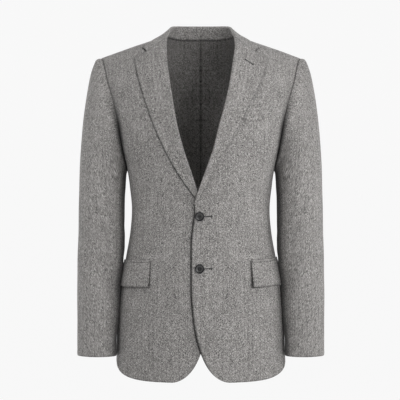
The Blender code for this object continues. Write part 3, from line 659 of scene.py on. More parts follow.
def hem_place(u):
    tau = tau_at(-hem_height(u))
    x = torso(u, tau)[..., 0]
    on_curve = place_on_front(x, cutaway(cutaway_share(x, 0))[1])
    rounded = (u < 1) & (x < HEM_LOWEST[0])
    return np.where(rounded, on_curve[0], u), np.where(rounded, on_curve[1], tau)


def under_layer(x, z):
    """How far the right front sinks beneath the left front, and beneath both lapels' tips."""
    near_edge = 1 - ease((x - OVERLAP_FADE[0]) / (OVERLAP_FADE[1] - OVERLAP_FADE[0]))
    below_break = 1 - ease((z - OVERLAP_TOP[0]) / (OVERLAP_TOP[1] - OVERLAP_TOP[0]))
    beside_tip = bell(z - LAPEL_TIP_Z, LAPEL_TIP_REACH)
    return near_edge * ((WALL + FRONT_LAYER_GAP) * below_break + LAPEL_TIP_LAYER * beside_tip)


# ================================================================ relief
def fold_heights(across, down, rows, across_unit=MM):
    """Soft ridges and troughs, each along a bent line between two places on the cloth."""
    total = np.zeros(np.shape(across))
    for row in rows:
        fold = Fold(*row)
        start = np.array((fold.start_across * across_unit, fold.start_z * MM))
        run = np.array((fold.end_across * across_unit, fold.end_z * MM)) - start
        length = math.hypot(*run)
        beside, below = across - start[0], down - start[1]
        t = (beside * run[0] + below * run[1]) / length ** 2
        inside = np.clip(t, 0, 1)
        lateral = (beside * run[1] - below * run[0]) / length - 4 * fold.bend * MM * inside * (1 - inside)
        reach = (lateral / (fold.width * MM)) ** 2
        taper = ease((t + FOLD_RUN_OUT) / FOLD_START_FADE) * ease((1 + FOLD_RUN_OUT - t) / FOLD_END_FADE)
        section = (1 - FOLD_SIDE_DIP * reach) * np.exp(-reach / FOLD_SPREAD)
        total = total + fold.height * MM * section * taper
    return total * FOLD_SHARE


def swells(across, down, hand):
    """Long low waves of the cloth."""
    total = np.zeros(np.shape(across))
    for swell in SWELLS:
        wave = np.sin(2 * math.pi * across / (swell.across_wave * MM) + swell.phase + hand)
        phase = SWELL_DOWN_PHASE * swell.phase
        wave = wave * np.sin(2 * math.pi * down / (swell.down_wave * MM) + phase)
        total = total + swell.height * MM * wave
    return total * SWELL_SHARE


def torso_relief(points, normals, side):
    """Folds of the fronts and back, fading where the body turns to the side."""
    x, y, z = np.moveaxis(points, -1, 0)
    facing = ease((np.abs(normals[..., 1]) - FACING_START) / FACING_RANGE)
    folds = np.where(y < 0, fold_heights(x, z, FRONT_FOLDS), fold_heights(x, z, BACK_FOLDS))
    buttoned = BUTTONED_FLATNESS * bell(x - BUTTON_X, BUTTONED_HALF_WIDTH) * (y < 0)
    return (folds * facing + swells(x + SWELL_DEPTH_SHARE * y, z, side)) * (1 - buttoned)


def underarm_strength(z):
    return ease((UNDERARM_START - z) / UNDERARM_FADE)


def seam_profile(distance):
    return -SEAM_DEPTH * bell(distance, SEAM_HALF_WIDTH)


def sleeve_head_profile(distance):
    """The sleeve's round roll just outside the armhole seam."""
    return SLEEVE_HEAD_RISE * bell(distance - SLEEVE_HEAD_WIDTH, SLEEVE_HEAD_WIDTH)


def edge_profile(distance):
    """A turned edge: rounded, and a little thicker as far as its allowance reaches."""
    ridge = TURNED_RIDGE * (1 - ease((distance - TURNED_WIDTH) / TURNED_SOFTNESS))
    return ridge - EDGE_ROUNDING * bell(distance, EDGE_HALF_WIDTH)


PROFILES = {
    "seam": seam_profile,
    "edge": edge_profile,
    "front_edge": edge_profile,
    "sleeve_head": sleeve_head_profile,
}
# Painted shade in the cloth's colour beside each kind of seam and edge and under the arm: darkest share and
# reach.
Shade = namedtuple("Shade", ("darkest", "reach"))
SHADES = {
    "seam": Shade(0.5, 1.5 * MM),
    "edge": Shade(0.3, 0.9 * MM),
    "front_edge": Shade(0.85, 2.0 * MM),
    "sleeve_head": Shade(0.6, 1.5 * MM),
    "underarm": Shade(0.95, 10.5 * MM),
}
# Painted shadows on the fronts beside what covers them, darkest on the wearer's left and right pieces, and
# reach.
Cover = namedtuple("Cover", ("darkest_left", "darkest_right", "reach"))
COVERS = {
    "lapel": Cover(0.0, 0.96, 3.0 * MM),
    "collar": Cover(0.3, 1.0, 3.0 * MM),
    "other_front": Cover(0.0, 0.95, 3.2 * MM),
    "flap_front": Cover(0.97, 0.6, 3.0 * MM),
    "flap_bottom": Cover(0.12, 0.15, 1.0 * MM),
}
FARTHEST_COVER, DEEPEST_COVER = 20.0, -4
SMALLEST_WEIGHT = 1e-9
FLAP_FRONT_STEEPNESS = (1.7, 0.8)
# Painted shade on each sleeve's inner side, facing the body, fading over turns from the inside and over the
# first rings.
ARM_SHADE = 0.68
ARM_SHADE_TURNS = (48, 30)
ARM_SHADE_RINGS = 2
# Painted shade over whole pieces: the wearer's right front, lapel and flap are darker, as if less lit.
PIECE_PAINTED_SHADE = {"right_front": 0.09, "right_lapel": 0.09, "right_flap": 0.05}


# ================================================================ shade beside what covers
def lapel_cover(x, z, side):
    """Signed distance to a lapel's outline, below zero beneath the lapel."""
    on_edge = np.clip(z, LAPEL_FOOT_Z, LAPEL_CORNER_Z)
    edge_x = LAPEL_EDGE.at(on_edge / MM)[side]
    slope = (LAPEL_EDGE.at((on_edge + MM) / MM)[side] - edge_x) / MM
    beside = (x - edge_x) / np.hypot(1, slope)
    roll, corner = gorge_line(side)
    along = unit(corner - roll)
    above = (z - roll[1]) * along[0] - (x - roll[0]) * along[1]
    return np.maximum(np.maximum(beside, above), LAPEL_FOOT_Z - z)


def collar_cover(x, z, side):
    """Signed distance to the collar's front end, from the notch to its corner."""
    notch = mix(*gorge_line(side), NOTCH_SHARE)
    tip = np.array(COLLAR_CORNER)
    along = unit(tip - notch)
    beside = (x - notch[0]) * along[1] - (z - notch[1]) * along[0]
    beyond = (x - tip[0]) * along[0] + (z - tip[1]) * along[1]
    return np.maximum(np.maximum(beside, beyond), z - tip[1])


def other_front_cover(x, z, side):
    """Signed distance to the left front's free edge, from places on the right front."""
    if side == 0:
        return np.full(np.shape(x), 1.0)
    edge_x = front_edge_x(z, 0)
    slope = (front_edge_x(z + MM, 0) - edge_x) / MM
    return (x + edge_x) / np.hypot(1, slope)


def flap_covers(x, z, side):
    """Signed distances to a flap's front edge and to its top and bottom edges."""
    (top_x, top_z), (bottom_x, bottom_z) = FLAP_FRONT
    raised = FLAP_SLANT[side] * np.clip((x - bottom_x) / FLAP_REACH, 0, 1)
    down = np.clip((z - top_z) / (bottom_z - top_z), 0, 1)
    in_front = (mix(top_x, bottom_x, down) - x) * mix(*FLAP_FRONT_STEEPNESS, down)
    outside = np.maximum(bottom_z + raised - z, z - top_z - raised)
    return np.maximum(in_front, outside), np.maximum(outside, in_front)


def cover_shade(points, side):
    """Distance to the nearest covering edge, in its own reaches, and the darkest shade there."""
    x, z = points[..., 0], points[..., 2]
    in_front, outside = flap_covers(x, z, side)
    distances = {
        "lapel": lapel_cover(x, z, side),
        "collar": collar_cover(x, z, side),
        "other_front": other_front_cover(x, z, side),
        "flap_front": in_front,
        "flap_bottom": outside,
    }
    nearest = np.full(np.shape(x), FARTHEST_COVER)
    shaded = np.zeros(np.shape(x))
    weight = np.full(np.shape(x), SMALLEST_WEIGHT)
    for cover, distance in distances.items():
        reaches = distance / COVERS[cover].reach
        share = np.exp(-np.maximum(reaches, 0))
        nearest = np.minimum(nearest, reaches)
        shaded = shaded + share * COVERS[cover][side]
        weight = weight + share
    return np.maximum(nearest, DEEPEST_COVER), shaded / weight


# ================================================================ shells
def travelled(points, axis):
    """Distance along the cloth from a grid's start on one axis."""
    steps = np.linalg.norm(np.diff(points, axis=axis), axis=-1)
    padding = [(0, 0), (0, 0)]
    padding[axis] = (1, 0)
    return np.pad(np.cumsum(steps, axis=axis), padding)


def rim_order(rows, columns):
    """A grid's outline as indices, round once, and the index of each point's inner neighbour."""
    index = np.arange(rows * columns).reshape(rows, columns)
    outline = np.concatenate((index[0, :-1], index[:-1, -1], index[-1, :0:-1], index[:0:-1, 0]))
    inner = np.concatenate((index[1, :-1], index[:-1, -2], index[-2, :0:-1], index[:0:-1, 1]))
    return outline, inner


def shell_faces(rows, columns, outline):
    """Faces of a shell's outer side, its inner side, and its rim's two halves."""
    count = rows * columns
    index = np.arange(count).reshape(rows, columns)
    quads = np.stack((index[:-1, :-1], index[:-1, 1:], index[1:, 1:], index[1:, :-1]), -1)
    quads = quads.reshape(-1, 4)
    ring = 2 * count + np.arange(len(outline))
    after, ring_after = np.roll(outline, -1), np.roll(ring, -1)
    return np.concatenate((
        quads,
        quads[:, ::-1] + count,
        np.stack((after, outline, ring, ring_after), -1),
        np.stack((ring_after, ring, outline + count, after + count), -1),
    ))


def cloth_shell(
    name, base, normals, uv, sides, relief, thickness=WALL, mirror=False, shade=0.0, cover=None
):
    """A closed thin shell from a grid of points, with seams and turned edges on its four sides.

    sides lists what the grid's left, right, bottom and top have: kinds of seam or edge, each
    with its strength along that side. shade darkens the cloth, and cover holds cover_shade's two
    grids.
    """
    rows, columns = base.shape[:2]
    across, up = travelled(base, 1), travelled(base, 0)
    distances = (across, across[:, -1:] - across, up, up[-1:] - up)
    height = np.array(relief, float)
    shade = np.zeros(height.shape) + shade
    inner_lift = np.zeros(height.shape)
    for kinds, distance in zip(sides, distances):
        for kind, strength in kinds:
            if kind in PROFILES:
                height = height + PROFILES[kind](distance) * strength
            darkest, reach = SHADES[kind]
            shade = np.maximum(shade, darkest * strength * bell(distance, reach))
            if kind.endswith("edge"):
                inner_lift = inner_lift + EDGE_ROUNDING * bell(distance, EDGE_HALF_WIDTH) * strength
    outer = (base + normals * height[..., None]).reshape(-1, 3)
    inner = (base + normals * (relief - thickness + inner_lift)[..., None]).reshape(-1, 3)
    outline, neighbour = rim_order(rows, columns)
    turned = inner_lift.ravel()[outline] / EDGE_ROUNDING
    bulge = unit(outer[outline] - outer[neighbour]) * (thickness * RIM_BULGE * turned)[:, None]
    middle = (outer[outline] + inner[outline]) / 2 + bulge
    vertices = np.concatenate((outer, inner, middle))
    if mirror:
        vertices = vertices * (-1, 1, 1)

    def at_vertices(grid, inside=1.0):
        flat = grid.reshape(rows * columns, *grid.shape[2:])
        return np.concatenate((flat, flat * inside, flat[outline]))

    piece = mesh_piece(name, vertices, shell_faces(rows, columns, outline), wool, at_vertices(uv))
    piece.data.set_sharp_from_angle(angle=CLOTH_CREASE)
    # Painted shade at every vertex: that of seams, edges and the shade passed in, with the piece's own
    # painted shade laid over it.
    add_values(piece, "shade", 1 - (1 - at_vertices(shade)) * (1 - PIECE_PAINTED_SHADE.get(name, 0.0)))
    if cover:
        for value_name, grid in zip(("nearest_cover", "cover_shade"), cover):
            add_values(piece, value_name, at_vertices(grid, 0.0))
    return piece


def add_values(piece, name, values):
    values = np.asarray(values, np.float32)
    piece.data.attributes.new(name, "FLOAT", "POINT").data.foreach_set("value", values)


def mesh_piece(name, vertices, faces, material, vertex_uv=None):
    mesh = bpy.data.meshes.new(name)
    mesh.from_pydata(np.asarray(vertices).tolist(), [], np.asarray(faces).tolist())
    form = bmesh.new()
    form.from_mesh(mesh)
    piece = finished(form, name, material, mesh)
    if vertex_uv is not None:
        layer = mesh.uv_layers.new(name="cloth")
        corner_vertices = np.zeros(len(mesh.loops), np.int32)
        mesh.loops.foreach_get("vertex_index", corner_vertices)
        layer.data.foreach_set("uv", np.asarray(vertex_uv, np.float32)[corner_vertices].ravel())
    return piece


def finished(form, name, material, mesh=None):
    """The form as an object in the scene, with its faces turned outwards."""
    bmesh.ops.recalc_face_normals(form, faces=form.faces)
    if mesh is None:
        mesh = bpy.data.meshes.new(name)
    form.to_mesh(mesh)
    form.free()
    mesh.materials.append(material)
    mesh.shade_smooth()
    piece = bpy.data.objects.new(name, mesh)
    bpy.context.scene.collection.objects.link(piece)
    return piece


def settle(piece, node):
    """The piece hangs from the root and stands in for its node, if any, which is hidden."""
    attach(piece, "root")
    if node:
        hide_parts(node)


def even(length):
    """Shares from 0 to 1 in steps of the mesh's size along a length."""
    return np.linspace(0, 1, max(3, round(length / MESH_STEP)) + 1)


def coons(left, right, bottom, top, size):
    """Grids of u and tau between four outlines, each a function of shares from 0 to 1."""
    rows, columns = (even(length) for length in size)
    lefts, rights = np.array(left(rows)), np.array(right(rows))
    bottoms, tops = np.array(bottom(columns)), np.array(top(columns))
    r, s = rows[None, :, None], columns[None, None, :]
    across = mix(lefts[:, :, None], rights[:, :, None], s)
    upward = mix(bottoms[:, None, :], tops[:, None, :], r)
    low = mix(lefts[:, :1, None], rights[:, :1, None], s)
    high = mix(lefts[:, -1:, None], rights[:, -1:, None], s)
    return across + upward - mix(low, high, r)


def torso_piece(side, part, places, sides, across_start=0.0, sink=None):
    """A torso panel's shell from its grids of u and tau."""
    u, tau = places
    base, normals = torso(u, tau), torso_normal(u, tau)
    relief = torso_relief(base * HANDS[side], normals * HANDS[side], side)
    if sink:
        relief = relief - sink(base[..., 0], base[..., 2]) * (u < 1)
    uv = np.stack((across_start + travelled(base, 1), -tau), -1)
    cover = cover_shade(base, side) if part == "front" else None
    name = f"{SIDES[side]}_{part}"
    piece = cloth_shell(name, base, normals, uv, sides, relief, mirror=side == 1, cover=cover)
    settle(piece, name)


# ================================================================ torso panels
NO_SIDE = ()
SEAM = (("seam", 1.0),)
FAINT_SEAM = (("seam", 0.3),)
EDGE = (("edge", 1.0),)
FAINT_EDGE = (("edge", 0.4),)


def armhole_side(places):
    """A front's or back's outer side: a seam, and the armhole's shade low beside the arm."""
    u, tau = places
    z = torso(u[:, -1:], tau[:, -1:])[..., 2]
    share = np.arange(len(z))[:, None] / len(z)
    beside_hole = ease((share - LOW_SHARE) / ARMHOLE_SHADE_FADE + 1)
    return SEAM + (("underarm", underarm_strength(z) * beside_hole),)


def side_seam(r, hem_u, back):
    top_u, top_tau = armhole(CORNER_STEP, back)
    low_tau = hem_place(np.array(hem_u, float))[1]
    return mix(hem_u, top_u, r), mix(low_tau, top_tau, r)


def outer_outline(r, hem_u, back):
    """A front's or back's outer outline: side seam, then armhole up to the shoulder."""
    seam = side_seam(r / LOW_SHARE, hem_u, back)
    hole = armhole(CORNER_STEP * (1 - (r - LOW_SHARE) / (1 - LOW_SHARE)), back)
    low = r <= LOW_SHARE
    return np.where(low, seam[0], hole[0]), np.where(low, seam[1], hole[1])


def free_edge_height(r):
    """Height on the front's free edge, for shares from the cut-away up to the gorge."""
    armhole_z = float(torso(*armhole(np.array(CORNER_STEP)))[..., 2])
    low_z = float(cutaway(np.array(HEM_CORNER_SHARE))[1])
    middle_z = float(cutaway(np.array(CUTAWAY_MIDDLE_SHARE))[1])
    stations = (*FREE_EDGE_STATIONS, LOW_SHARE, 1 - NECK_SHARE)
    heights = (low_z, middle_z, CUTAWAY_START[1], BREAK_Z, armhole_z, GORGE_Z)
    return np.interp(r, stations, heights)


def front_piece(side):
    def left(r):
        z = free_edge_height(r)
        edge = place_on_front(front_edge_x(z, side), z)
        neck = front_neck(np.clip((1 - r) / NECK_SHARE, 0, 1), side)
        on_edge = r <= 1 - NECK_SHARE
        return np.where(on_edge, edge[0], neck[0]), np.where(on_edge, edge[1], neck[1])

    def right(r):
        return outer_outline(r, FRONT_SEAM_U, False)

    def bottom(s):
        ends = left(np.zeros(1))[0][0], FRONT_SEAM_U
        return hem_place(mix(ends[0], ends[1], s))

    def top(s):
        return mix(NECK_U, SHOULDER_U, s), np.zeros(len(s))

    places = coons(left, right, bottom, top, FRONT_MESH)
    edge = torso(places[0][:, :1], places[1][:, :1])
    below_break = ease((BREAK_Z - edge[..., 2]) / FRONT_EDGE_FADE)
    free_edge = (("front_edge" if side == 0 else "edge", below_break),)
    sides = (free_edge, armhole_side(places), EDGE, SEAM)
    torso_piece(side, "front", places, sides, edge[..., 0], under_layer if side == 1 else None)


def side_piece(side):
    def left(r):
        return side_seam(r, FRONT_SEAM_U, False)

    def right(r):
        return side_seam(r, BACK_SEAM_U, True)

    def bottom(s):
        return hem_place(mix(FRONT_SEAM_U, BACK_SEAM_U, s))

    def top(s):
        depth = 1 - np.abs(2 * s - 1)
        front_half = armhole(mix(CORNER_STEP, 1, depth))
        return np.where(s > 0.5, 2 - front_half[0], front_half[0]), front_half[1]

    places = coons(left, right, bottom, top, SIDE_MESH)
    torso_piece(side, "side", places, (SEAM, SEAM, EDGE, SEAM + (("underarm", 1.0),)))


def back_piece(side):
    neck_tau = float(tau_at(BACK_NECK_DROP))
    hem_tau = float(hem_place(np.array(2.0))[1])

    def left(r):
        return np.full(len(r), 2.0), mix(hem_tau, neck_tau, r)

    def right(r):
        return outer_outline(r, BACK_SEAM_U, True)

    def bottom(s):
        return hem_place(mix(2.0, BACK_SEAM_U, s))

    def top(s):
        neck = back_neck(np.clip(s / BACK_NECK_SHARE, 0, 1))
        beyond = np.clip((s - BACK_NECK_SHARE) / (1 - BACK_NECK_SHARE), 0, 1)
        shoulder = 2 - mix(NECK_U, SHOULDER_U, beyond)
        on_neck = s < BACK_NECK_SHARE
        return np.where(on_neck, neck[0], shoulder), np.where(on_neck, neck[1], 0.0)

    places = coons(left, right, bottom, top, BACK_MESH)
    torso_piece(side, "back", places, (SEAM, armhole_side(places), EDGE, SEAM))


# ================================================================ lapels
def lapel_place(side, q, t, shift=(0.0, 0.0)):
    """The lapel's visible face at q up the roll line and t across it.

    t runs round the roll from -1 to 0, and from there to the outer edge at 1.
    """
    roll_z = mix(BREAK_Z, GORGE_Z, q)
    roll = np.stack((front_edge_x(roll_z, side) + shift[0], roll_z + shift[1]), -1)
    edge_z = mix(LAPEL_FOOT_Z, LAPEL_CORNER_Z, q)
    edge = np.stack((LAPEL_EDGE.at(edge_z / MM)[side] + shift[0], edge_z + shift[1]), -1)
    radius = mix(ROLL_RADIUS_AT_BREAK, ROLL_RADIUS, ease((roll_z - BREAK_Z) / ROLL_SOFTENING))
    reach = radius + WALL
    turn = (np.minimum(t, 0) + 0.5) * math.pi
    rolled = roll - unit(edge - roll) * (reach * np.cos(turn))[..., None]
    flat = roll + (edge - roll) * np.asarray(t)[..., None]
    on_roll = t < 0
    base = np.where(on_roll[..., None], rolled, flat)
    belly = mix(LAPEL_GAP + WALL, radius + reach, (1 - np.maximum(t, 0)) ** 2)
    height = np.where(on_roll, radius + reach * np.sin(turn), belly)
    if side == 1:
        height = height - under_layer(base[..., 0], base[..., 1])
    return off_torso(*place_on_front(base[..., 0], base[..., 1]), height)


def lapel_normal(side, q, t):
    across = lapel_place(side, q, t + NORMAL_STEP) - lapel_place(side, q, t - NORMAL_STEP)
    up = lapel_place(side, q + NORMAL_STEP, t) - lapel_place(side, q - NORMAL_STEP, t)
    return unit(np.cross(across, up))


def lapel_relief(place, side, t):
    x, z = place[..., 0] * HANDS[side][0], place[..., 2]
    lift = LAPEL_EDGE_LIFT * ease(t) ** 2
    return lift + LAPEL_SWELL_SHARE * swells(x, z, side + 2) * ease(t / LAPEL_CALM_WIDTH)


def lapel_piece(side):
    length, width = LAPEL_MESH
    across = np.concatenate((np.linspace(-1, 0, LAPEL_ROLL_STEPS + 1)[:-1], even(width)))
    q, t = np.meshgrid(even(length), across, indexing="ij")
    base, normals = lapel_place(side, q, t), lapel_normal(side, q, t)
    uv = np.stack((travelled(base, 1), travelled(base, 0)), -1)
    relief = lapel_relief(base, side, t) * ease(q / LAPEL_CALM_FOOT)
    name = SIDES[side] + "_lapel"
    sides = (NO_SIDE, EDGE, NO_SIDE, EDGE)
    piece = cloth_shell(name, base, normals, uv, sides, relief, mirror=side == 1)
    settle(piece, name)


# ================================================================ collar
def neck_seam(share):
    back = back_neck(np.minimum(share / SHOULDER_SHARE, 1))
    front = front_neck(np.clip((share - SHOULDER_SHARE) / (100 - SHOULDER_SHARE), 0, 1), 0)
    on_back = share < SHOULDER_SHARE
    return torso(np.where(on_back, back[0], front[0]), np.where(on_back, back[1], front[1]))


def collar_section(share, station):
    """The collar's visible face at a share round the neck: up the stand, over the fold, down the leaf."""
    up = np.array((0.0, 0.0, 1.0))
    top = np.stack(FOLD.at(share), -1)
    inward = unit(point(-top[..., 0], NECK_CENTRE_Y - top[..., 1], 0.0))
    foot = neck_seam(share) + inward * WALL / 2 + up * COLLAR_FOOT_GAP
    centre = top - up * FOLD_RADIUS
    stand = mix(foot, centre + inward * FOLD_RADIUS, np.clip(station / STAND_END, 0, 1)[..., None])
    turn = FOLD_TURN * np.clip((station - STAND_END) / (ROLL_END - STAND_END), 0, 1)[..., None]
    fold = centre + (inward * np.cos(turn) + up * np.sin(turn)) * FOLD_RADIUS
    start = centre + (inward * math.cos(FOLD_TURN) + up * math.sin(FOLD_TURN)) * FOLD_RADIUS
    edge_x, edge_y = LEAF_EDGE.at(share)
    edge = point(edge_x, edge_y, roof_height(edge_x, edge_y) + LEAF_CLEARANCE)
    middle = (start + edge) / 2 + (up - inward) * LEAF_BULGE
    t = np.clip((station - ROLL_END) / (SECTION_END - ROLL_END), 0, 1)[..., None]
    leaf = mix(mix(start, middle, t), mix(middle, edge, t), t)
    leaf[..., 2] = np.maximum(leaf[..., 2], roof_height(leaf[..., 0], leaf[..., 1]) + LEAF_CLEARANCE)
    station = station[..., None]
    return np.where(station < STAND_END, stand, np.where(station < ROLL_END, fold, leaf))


def collar_end(station):
    """The collar's front end: beside the lapel along the gorge, then up its own edge."""
    roll, corner = gorge_line(0)
    along = unit(corner - roll)
    shift = np.array((-along[1], along[0])) * GORGE_GAP
    t = np.where(
        station < ROLL_END,
        station / ROLL_END - 1,
        NOTCH_SHARE * (station - ROLL_END) / (NOTCH_END - ROLL_END),
    )
    beside_lapel = lapel_place(0, np.ones(np.shape(t)), np.minimum(t, NOTCH_SHARE), shift)
    notch = mix(roll, corner, NOTCH_SHARE) + shift
    reach = np.clip((station - NOTCH_END) / (SECTION_END - NOTCH_END), 0, 1)[..., None]
    own_edge = mix(notch, np.array(COLLAR_CORNER), reach)
    height = np.full(np.shape(t), LAPEL_GAP + WALL)
    own = off_torso(*place_on_front(own_edge[..., 0], own_edge[..., 1]), height)
    return np.where((station < NOTCH_END)[..., None], beside_lapel, own)


def grid_normals(grid):
    across = np.gradient(grid, axis=1)
    up = np.gradient(grid, axis=0)
    return unit(np.cross(across, up))


def collar_piece():
    stations = np.concatenate((
        np.linspace(0, STAND_END, 9)[:-1],
        np.linspace(STAND_END, ROLL_END, 13)[:-1],
        np.linspace(ROLL_END, NOTCH_END, 13)[:-1],
        np.linspace(NOTCH_END, SECTION_END, 7),
    ))
    shares = np.linspace(0, 100, 73)
    share, station = np.meshgrid(shares, stations, indexing="ij")
    section = collar_section(share, station)
    pull = ease((share - 100 + COLLAR_FADE) / COLLAR_FADE)[..., None]
    full = np.full(np.shape(station), 100.0)
    half = section + (collar_end(station) - collar_section(full, station)) * pull
    grid = np.concatenate((half[:0:-1] * (-1, 1, 1), half))
    normals = -grid_normals(grid)
    round_neck = travelled(grid, 0)
    round_neck = round_neck - round_neck[len(shares) - 1]
    uv = np.stack((round_neck, travelled(grid, 1)), -1)
    sides = (SEAM, EDGE, EDGE, EDGE)
    relief = np.zeros(grid.shape[:2])
    piece = cloth_shell("collar", grid, normals, uv, sides, relief)
    settle(piece, "collar")


# ================================================================ sleeves
def plain_sleeve(ring, turn):
    """A sleeve of flattened rings: turn 0 is its outer edge, a quarter turn its front."""
    row = SLEEVE.at(ring)
    outward = (1 + np.cos(turn)) / 2
    y = -row.forward - row.half_depth * np.sin(turn)
    return point(mix(row.inner_x, row.outer_x, outward), y, mix(row.inner_z, row.outer_z, outward))


def armhole_point(turn):
    share = (turn % (2 * math.pi)) / math.pi
    front = armhole(np.minimum(share, 1))
    back = armhole(np.minimum(2 - share, 1), True)
    on_front = share <= 1
    return torso(np.where(on_front, front[0], back[0]), np.where(on_front, front[1], back[1]))


def sleeve_point(ring, turn):
    """The sleeve's outer face, which starts on the armhole seam."""
    pull = (1 - ease(ring / ARMHOLE_FADE_RINGS))[..., None]
    start = armhole_point(turn) - plain_sleeve(np.zeros(np.shape(ring)), turn)
    return plain_sleeve(ring, turn) + start * pull


def sleeve_normal(ring, turn):
    step = 2 * NORMAL_STEP
    round_it = sleeve_point(ring, turn + step) - sleeve_point(ring, turn - step)
    down = sleeve_point(np.minimum(ring + step, LAST_RING), turn)
    down = down - sleeve_point(np.maximum(ring - step, 0), turn)
    return unit(np.cross(round_it, down))


def resting_height(base, turn):
    """How far the sleeve's inner side swells out to rest on the hip and just under the arm."""
    x, y, z = np.moveaxis(base, -1, 0)
    ring = TORSO.at(-z / MM)
    depth = np.where(y < 0, ring.front_depth, ring.back_depth)
    body_x = ring.half_width * np.maximum(1 - (np.abs(y) / depth) ** RING_POWER, 0) ** (1 / RING_POWER)
    top_z, bottom_z = FLAP_FRONT[0][1], FLAP_FRONT[1][1]
    under_flap = ease((z - bottom_z) / REST_FLAP_FADE) * ease((top_z + JET_HEIGHT - z) / REST_FLAP_FADE)
    stand_off = mix(*FLAP_STAND_OFF, np.clip((z - top_z) / (bottom_z - top_z), 0, 1))
    gap = x - body_x - under_flap * (FLAP_WALL + stand_off) - REST_CLEARANCE
    beside_body = bell(np.degrees(turn) - REST_TURN, REST_WIDTH)
    along = ease((REST_TOP[0] - z) / (REST_TOP[0] - REST_TOP[1]))
    along = along * ease((z - REST_BOTTOM[1]) / (REST_BOTTOM[0] - REST_BOTTOM[1]))
    along = np.maximum(along, ease((z - REST_UNDER_ARM[1]) / (REST_UNDER_ARM[0] - REST_UNDER_ARM[1])))
    return np.clip(gap, 0, REST_MOST) * beside_body * along


def sleeve_piece(side, part, first, last, grain_turn, width):
    turns = mix(first, last, even(width))
    rings = LAST_RING * even(SLEEVE_MESH_LENGTH)
    ring, turn = np.meshgrid(rings, turns, indexing="ij")
    base, normals = sleeve_point(ring, turn), sleeve_normal(ring, turn)
    across, z = turn * SLEEVE_RADIUS, base[..., 2]
    folds = fold_heights(across, z, SLEEVE_FOLDS[SIDES[side]], SLEEVE_RADIUS * math.pi / 180)
    folds = folds * ease((LAST_RING - ring) / CUFF_CALM_RINGS)
    relief = folds + swells(across, z, 3 + side) + resting_height(base, turn)
    round_it = travelled(base, 1)
    grain = np.argmin(np.abs(turns - grain_turn))
    uv = np.stack((round_it - round_it[:, grain:grain + 1], -travelled(base, 0)), -1)
    underarm = underarm_strength(base[:1, :, 2])
    head = SEAM + (("sleeve_head", 1 - underarm), ("underarm", underarm))
    seams = [FAINT_SEAM if turn_at_seam == FOREARM_TURN else SEAM for turn_at_seam in (first, last)]
    from_inside = np.abs(np.degrees(turn) % 360 - 180)
    reach, softness = ARM_SHADE_TURNS
    shade = ARM_SHADE * ease((reach - from_inside) / softness) * ease(ring / ARM_SHADE_RINGS)
    name = f"{SIDES[side]}_{part}"
    relief = relief * ease(ring / HEAD_CALM_RINGS)
    sides = (*seams, head, EDGE)
    piece = cloth_shell(name, base, normals, uv, sides, relief, mirror=side == 1, shade=shade)
    settle(piece, name)


def sleeve_pieces(side):
    start = HINDARM_TURN - 2 * math.pi
    sleeve_piece(side, "top_sleeve", start, FOREARM_TURN, TOP_GRAIN_TURN, TOP_SLEEVE_MESH_WIDTH)
    sleeve_piece(
        side, "under_sleeve", FOREARM_TURN, HINDARM_TURN, math.pi, UNDER_SLEEVE_MESH_WIDTH
    )


# ================================================================ pockets
def patch_piece(part, side, front_x, top_z, bottom_z, heights, thickness, corner, lift):
    """A strip of cloth on the torso, from a front edge at x back to the flap's end."""
    name = f"{SIDES[side]}_{part}"
    rows = even(top_z - bottom_z) if corner else np.linspace(0, 1, 6)
    top_start = torso(*place_on_front(np.array(front_x[0]), np.array(top_z)))
    top_end = torso(np.array(FLAP_END_U), tau_at(-top_z))
    length = float(np.linalg.norm(top_end - top_start))
    turned = 1 - np.cos(np.linspace(0, QUARTER_TURN, 9))
    inner = np.linspace(corner / length, 1 - corner / length, 22)[1:-1]
    rounded = np.concatenate((turned * corner / length, inner, 1 - (turned * corner / length)[::-1]))
    columns = rounded if corner else even(length)
    r, s = np.meshgrid(rows, columns, indexing="ij")
    from_end = np.minimum(s, 1 - s) * length
    rise = corner - np.sqrt(np.maximum(0.0, corner ** 2 - np.maximum(0.0, corner - from_end) ** 2))
    z = mix(top_z, bottom_z + rise, r) + FLAP_SLANT[side] * s
    start_u = place_on_front(mix(front_x[0], front_x[1], r), z)[0]
    u, tau = mix(start_u, FLAP_END_U, s), tau_at(-z)
    stand_off = mix(heights[0], heights[1], r) + lift * r * (1 - ease(s / FLAP_LIFT_SHARE))
    base = off_torso(u, tau, stand_off)
    normals = -grid_normals(base)
    under = torso_relief(torso(u, tau) * HANDS[side], torso_normal(u, tau) * HANDS[side], side)
    uv = np.stack((base[:, :1, 0] + travelled(base, 1), -tau), -1)
    sides = (EDGE, EDGE, NO_SIDE if corner else EDGE, EDGE)
    piece = cloth_shell(name, base, normals, uv, sides, under, thickness, mirror=side == 1)
    settle(piece, name)


def pocket_pieces(side):
    (top_x, top_z), (bottom_x, bottom_z) = FLAP_FRONT
    heights = [FLAP_WALL + gap for gap in FLAP_STAND_OFF]
    lift = FLAP_FRONT_LIFT[side]
    patch_piece("flap", side, (top_x, bottom_x), top_z, bottom_z, heights, FLAP_WALL, FLAP_CORNER, lift)
    low = top_z + LAYER_GAP
    heights = (WALL + LAYER_GAP,) * 2
    patch_piece("pocket_jet", side, (top_x, top_x), low + JET_HEIGHT, low, heights, WALL, 0.0, 0.0)


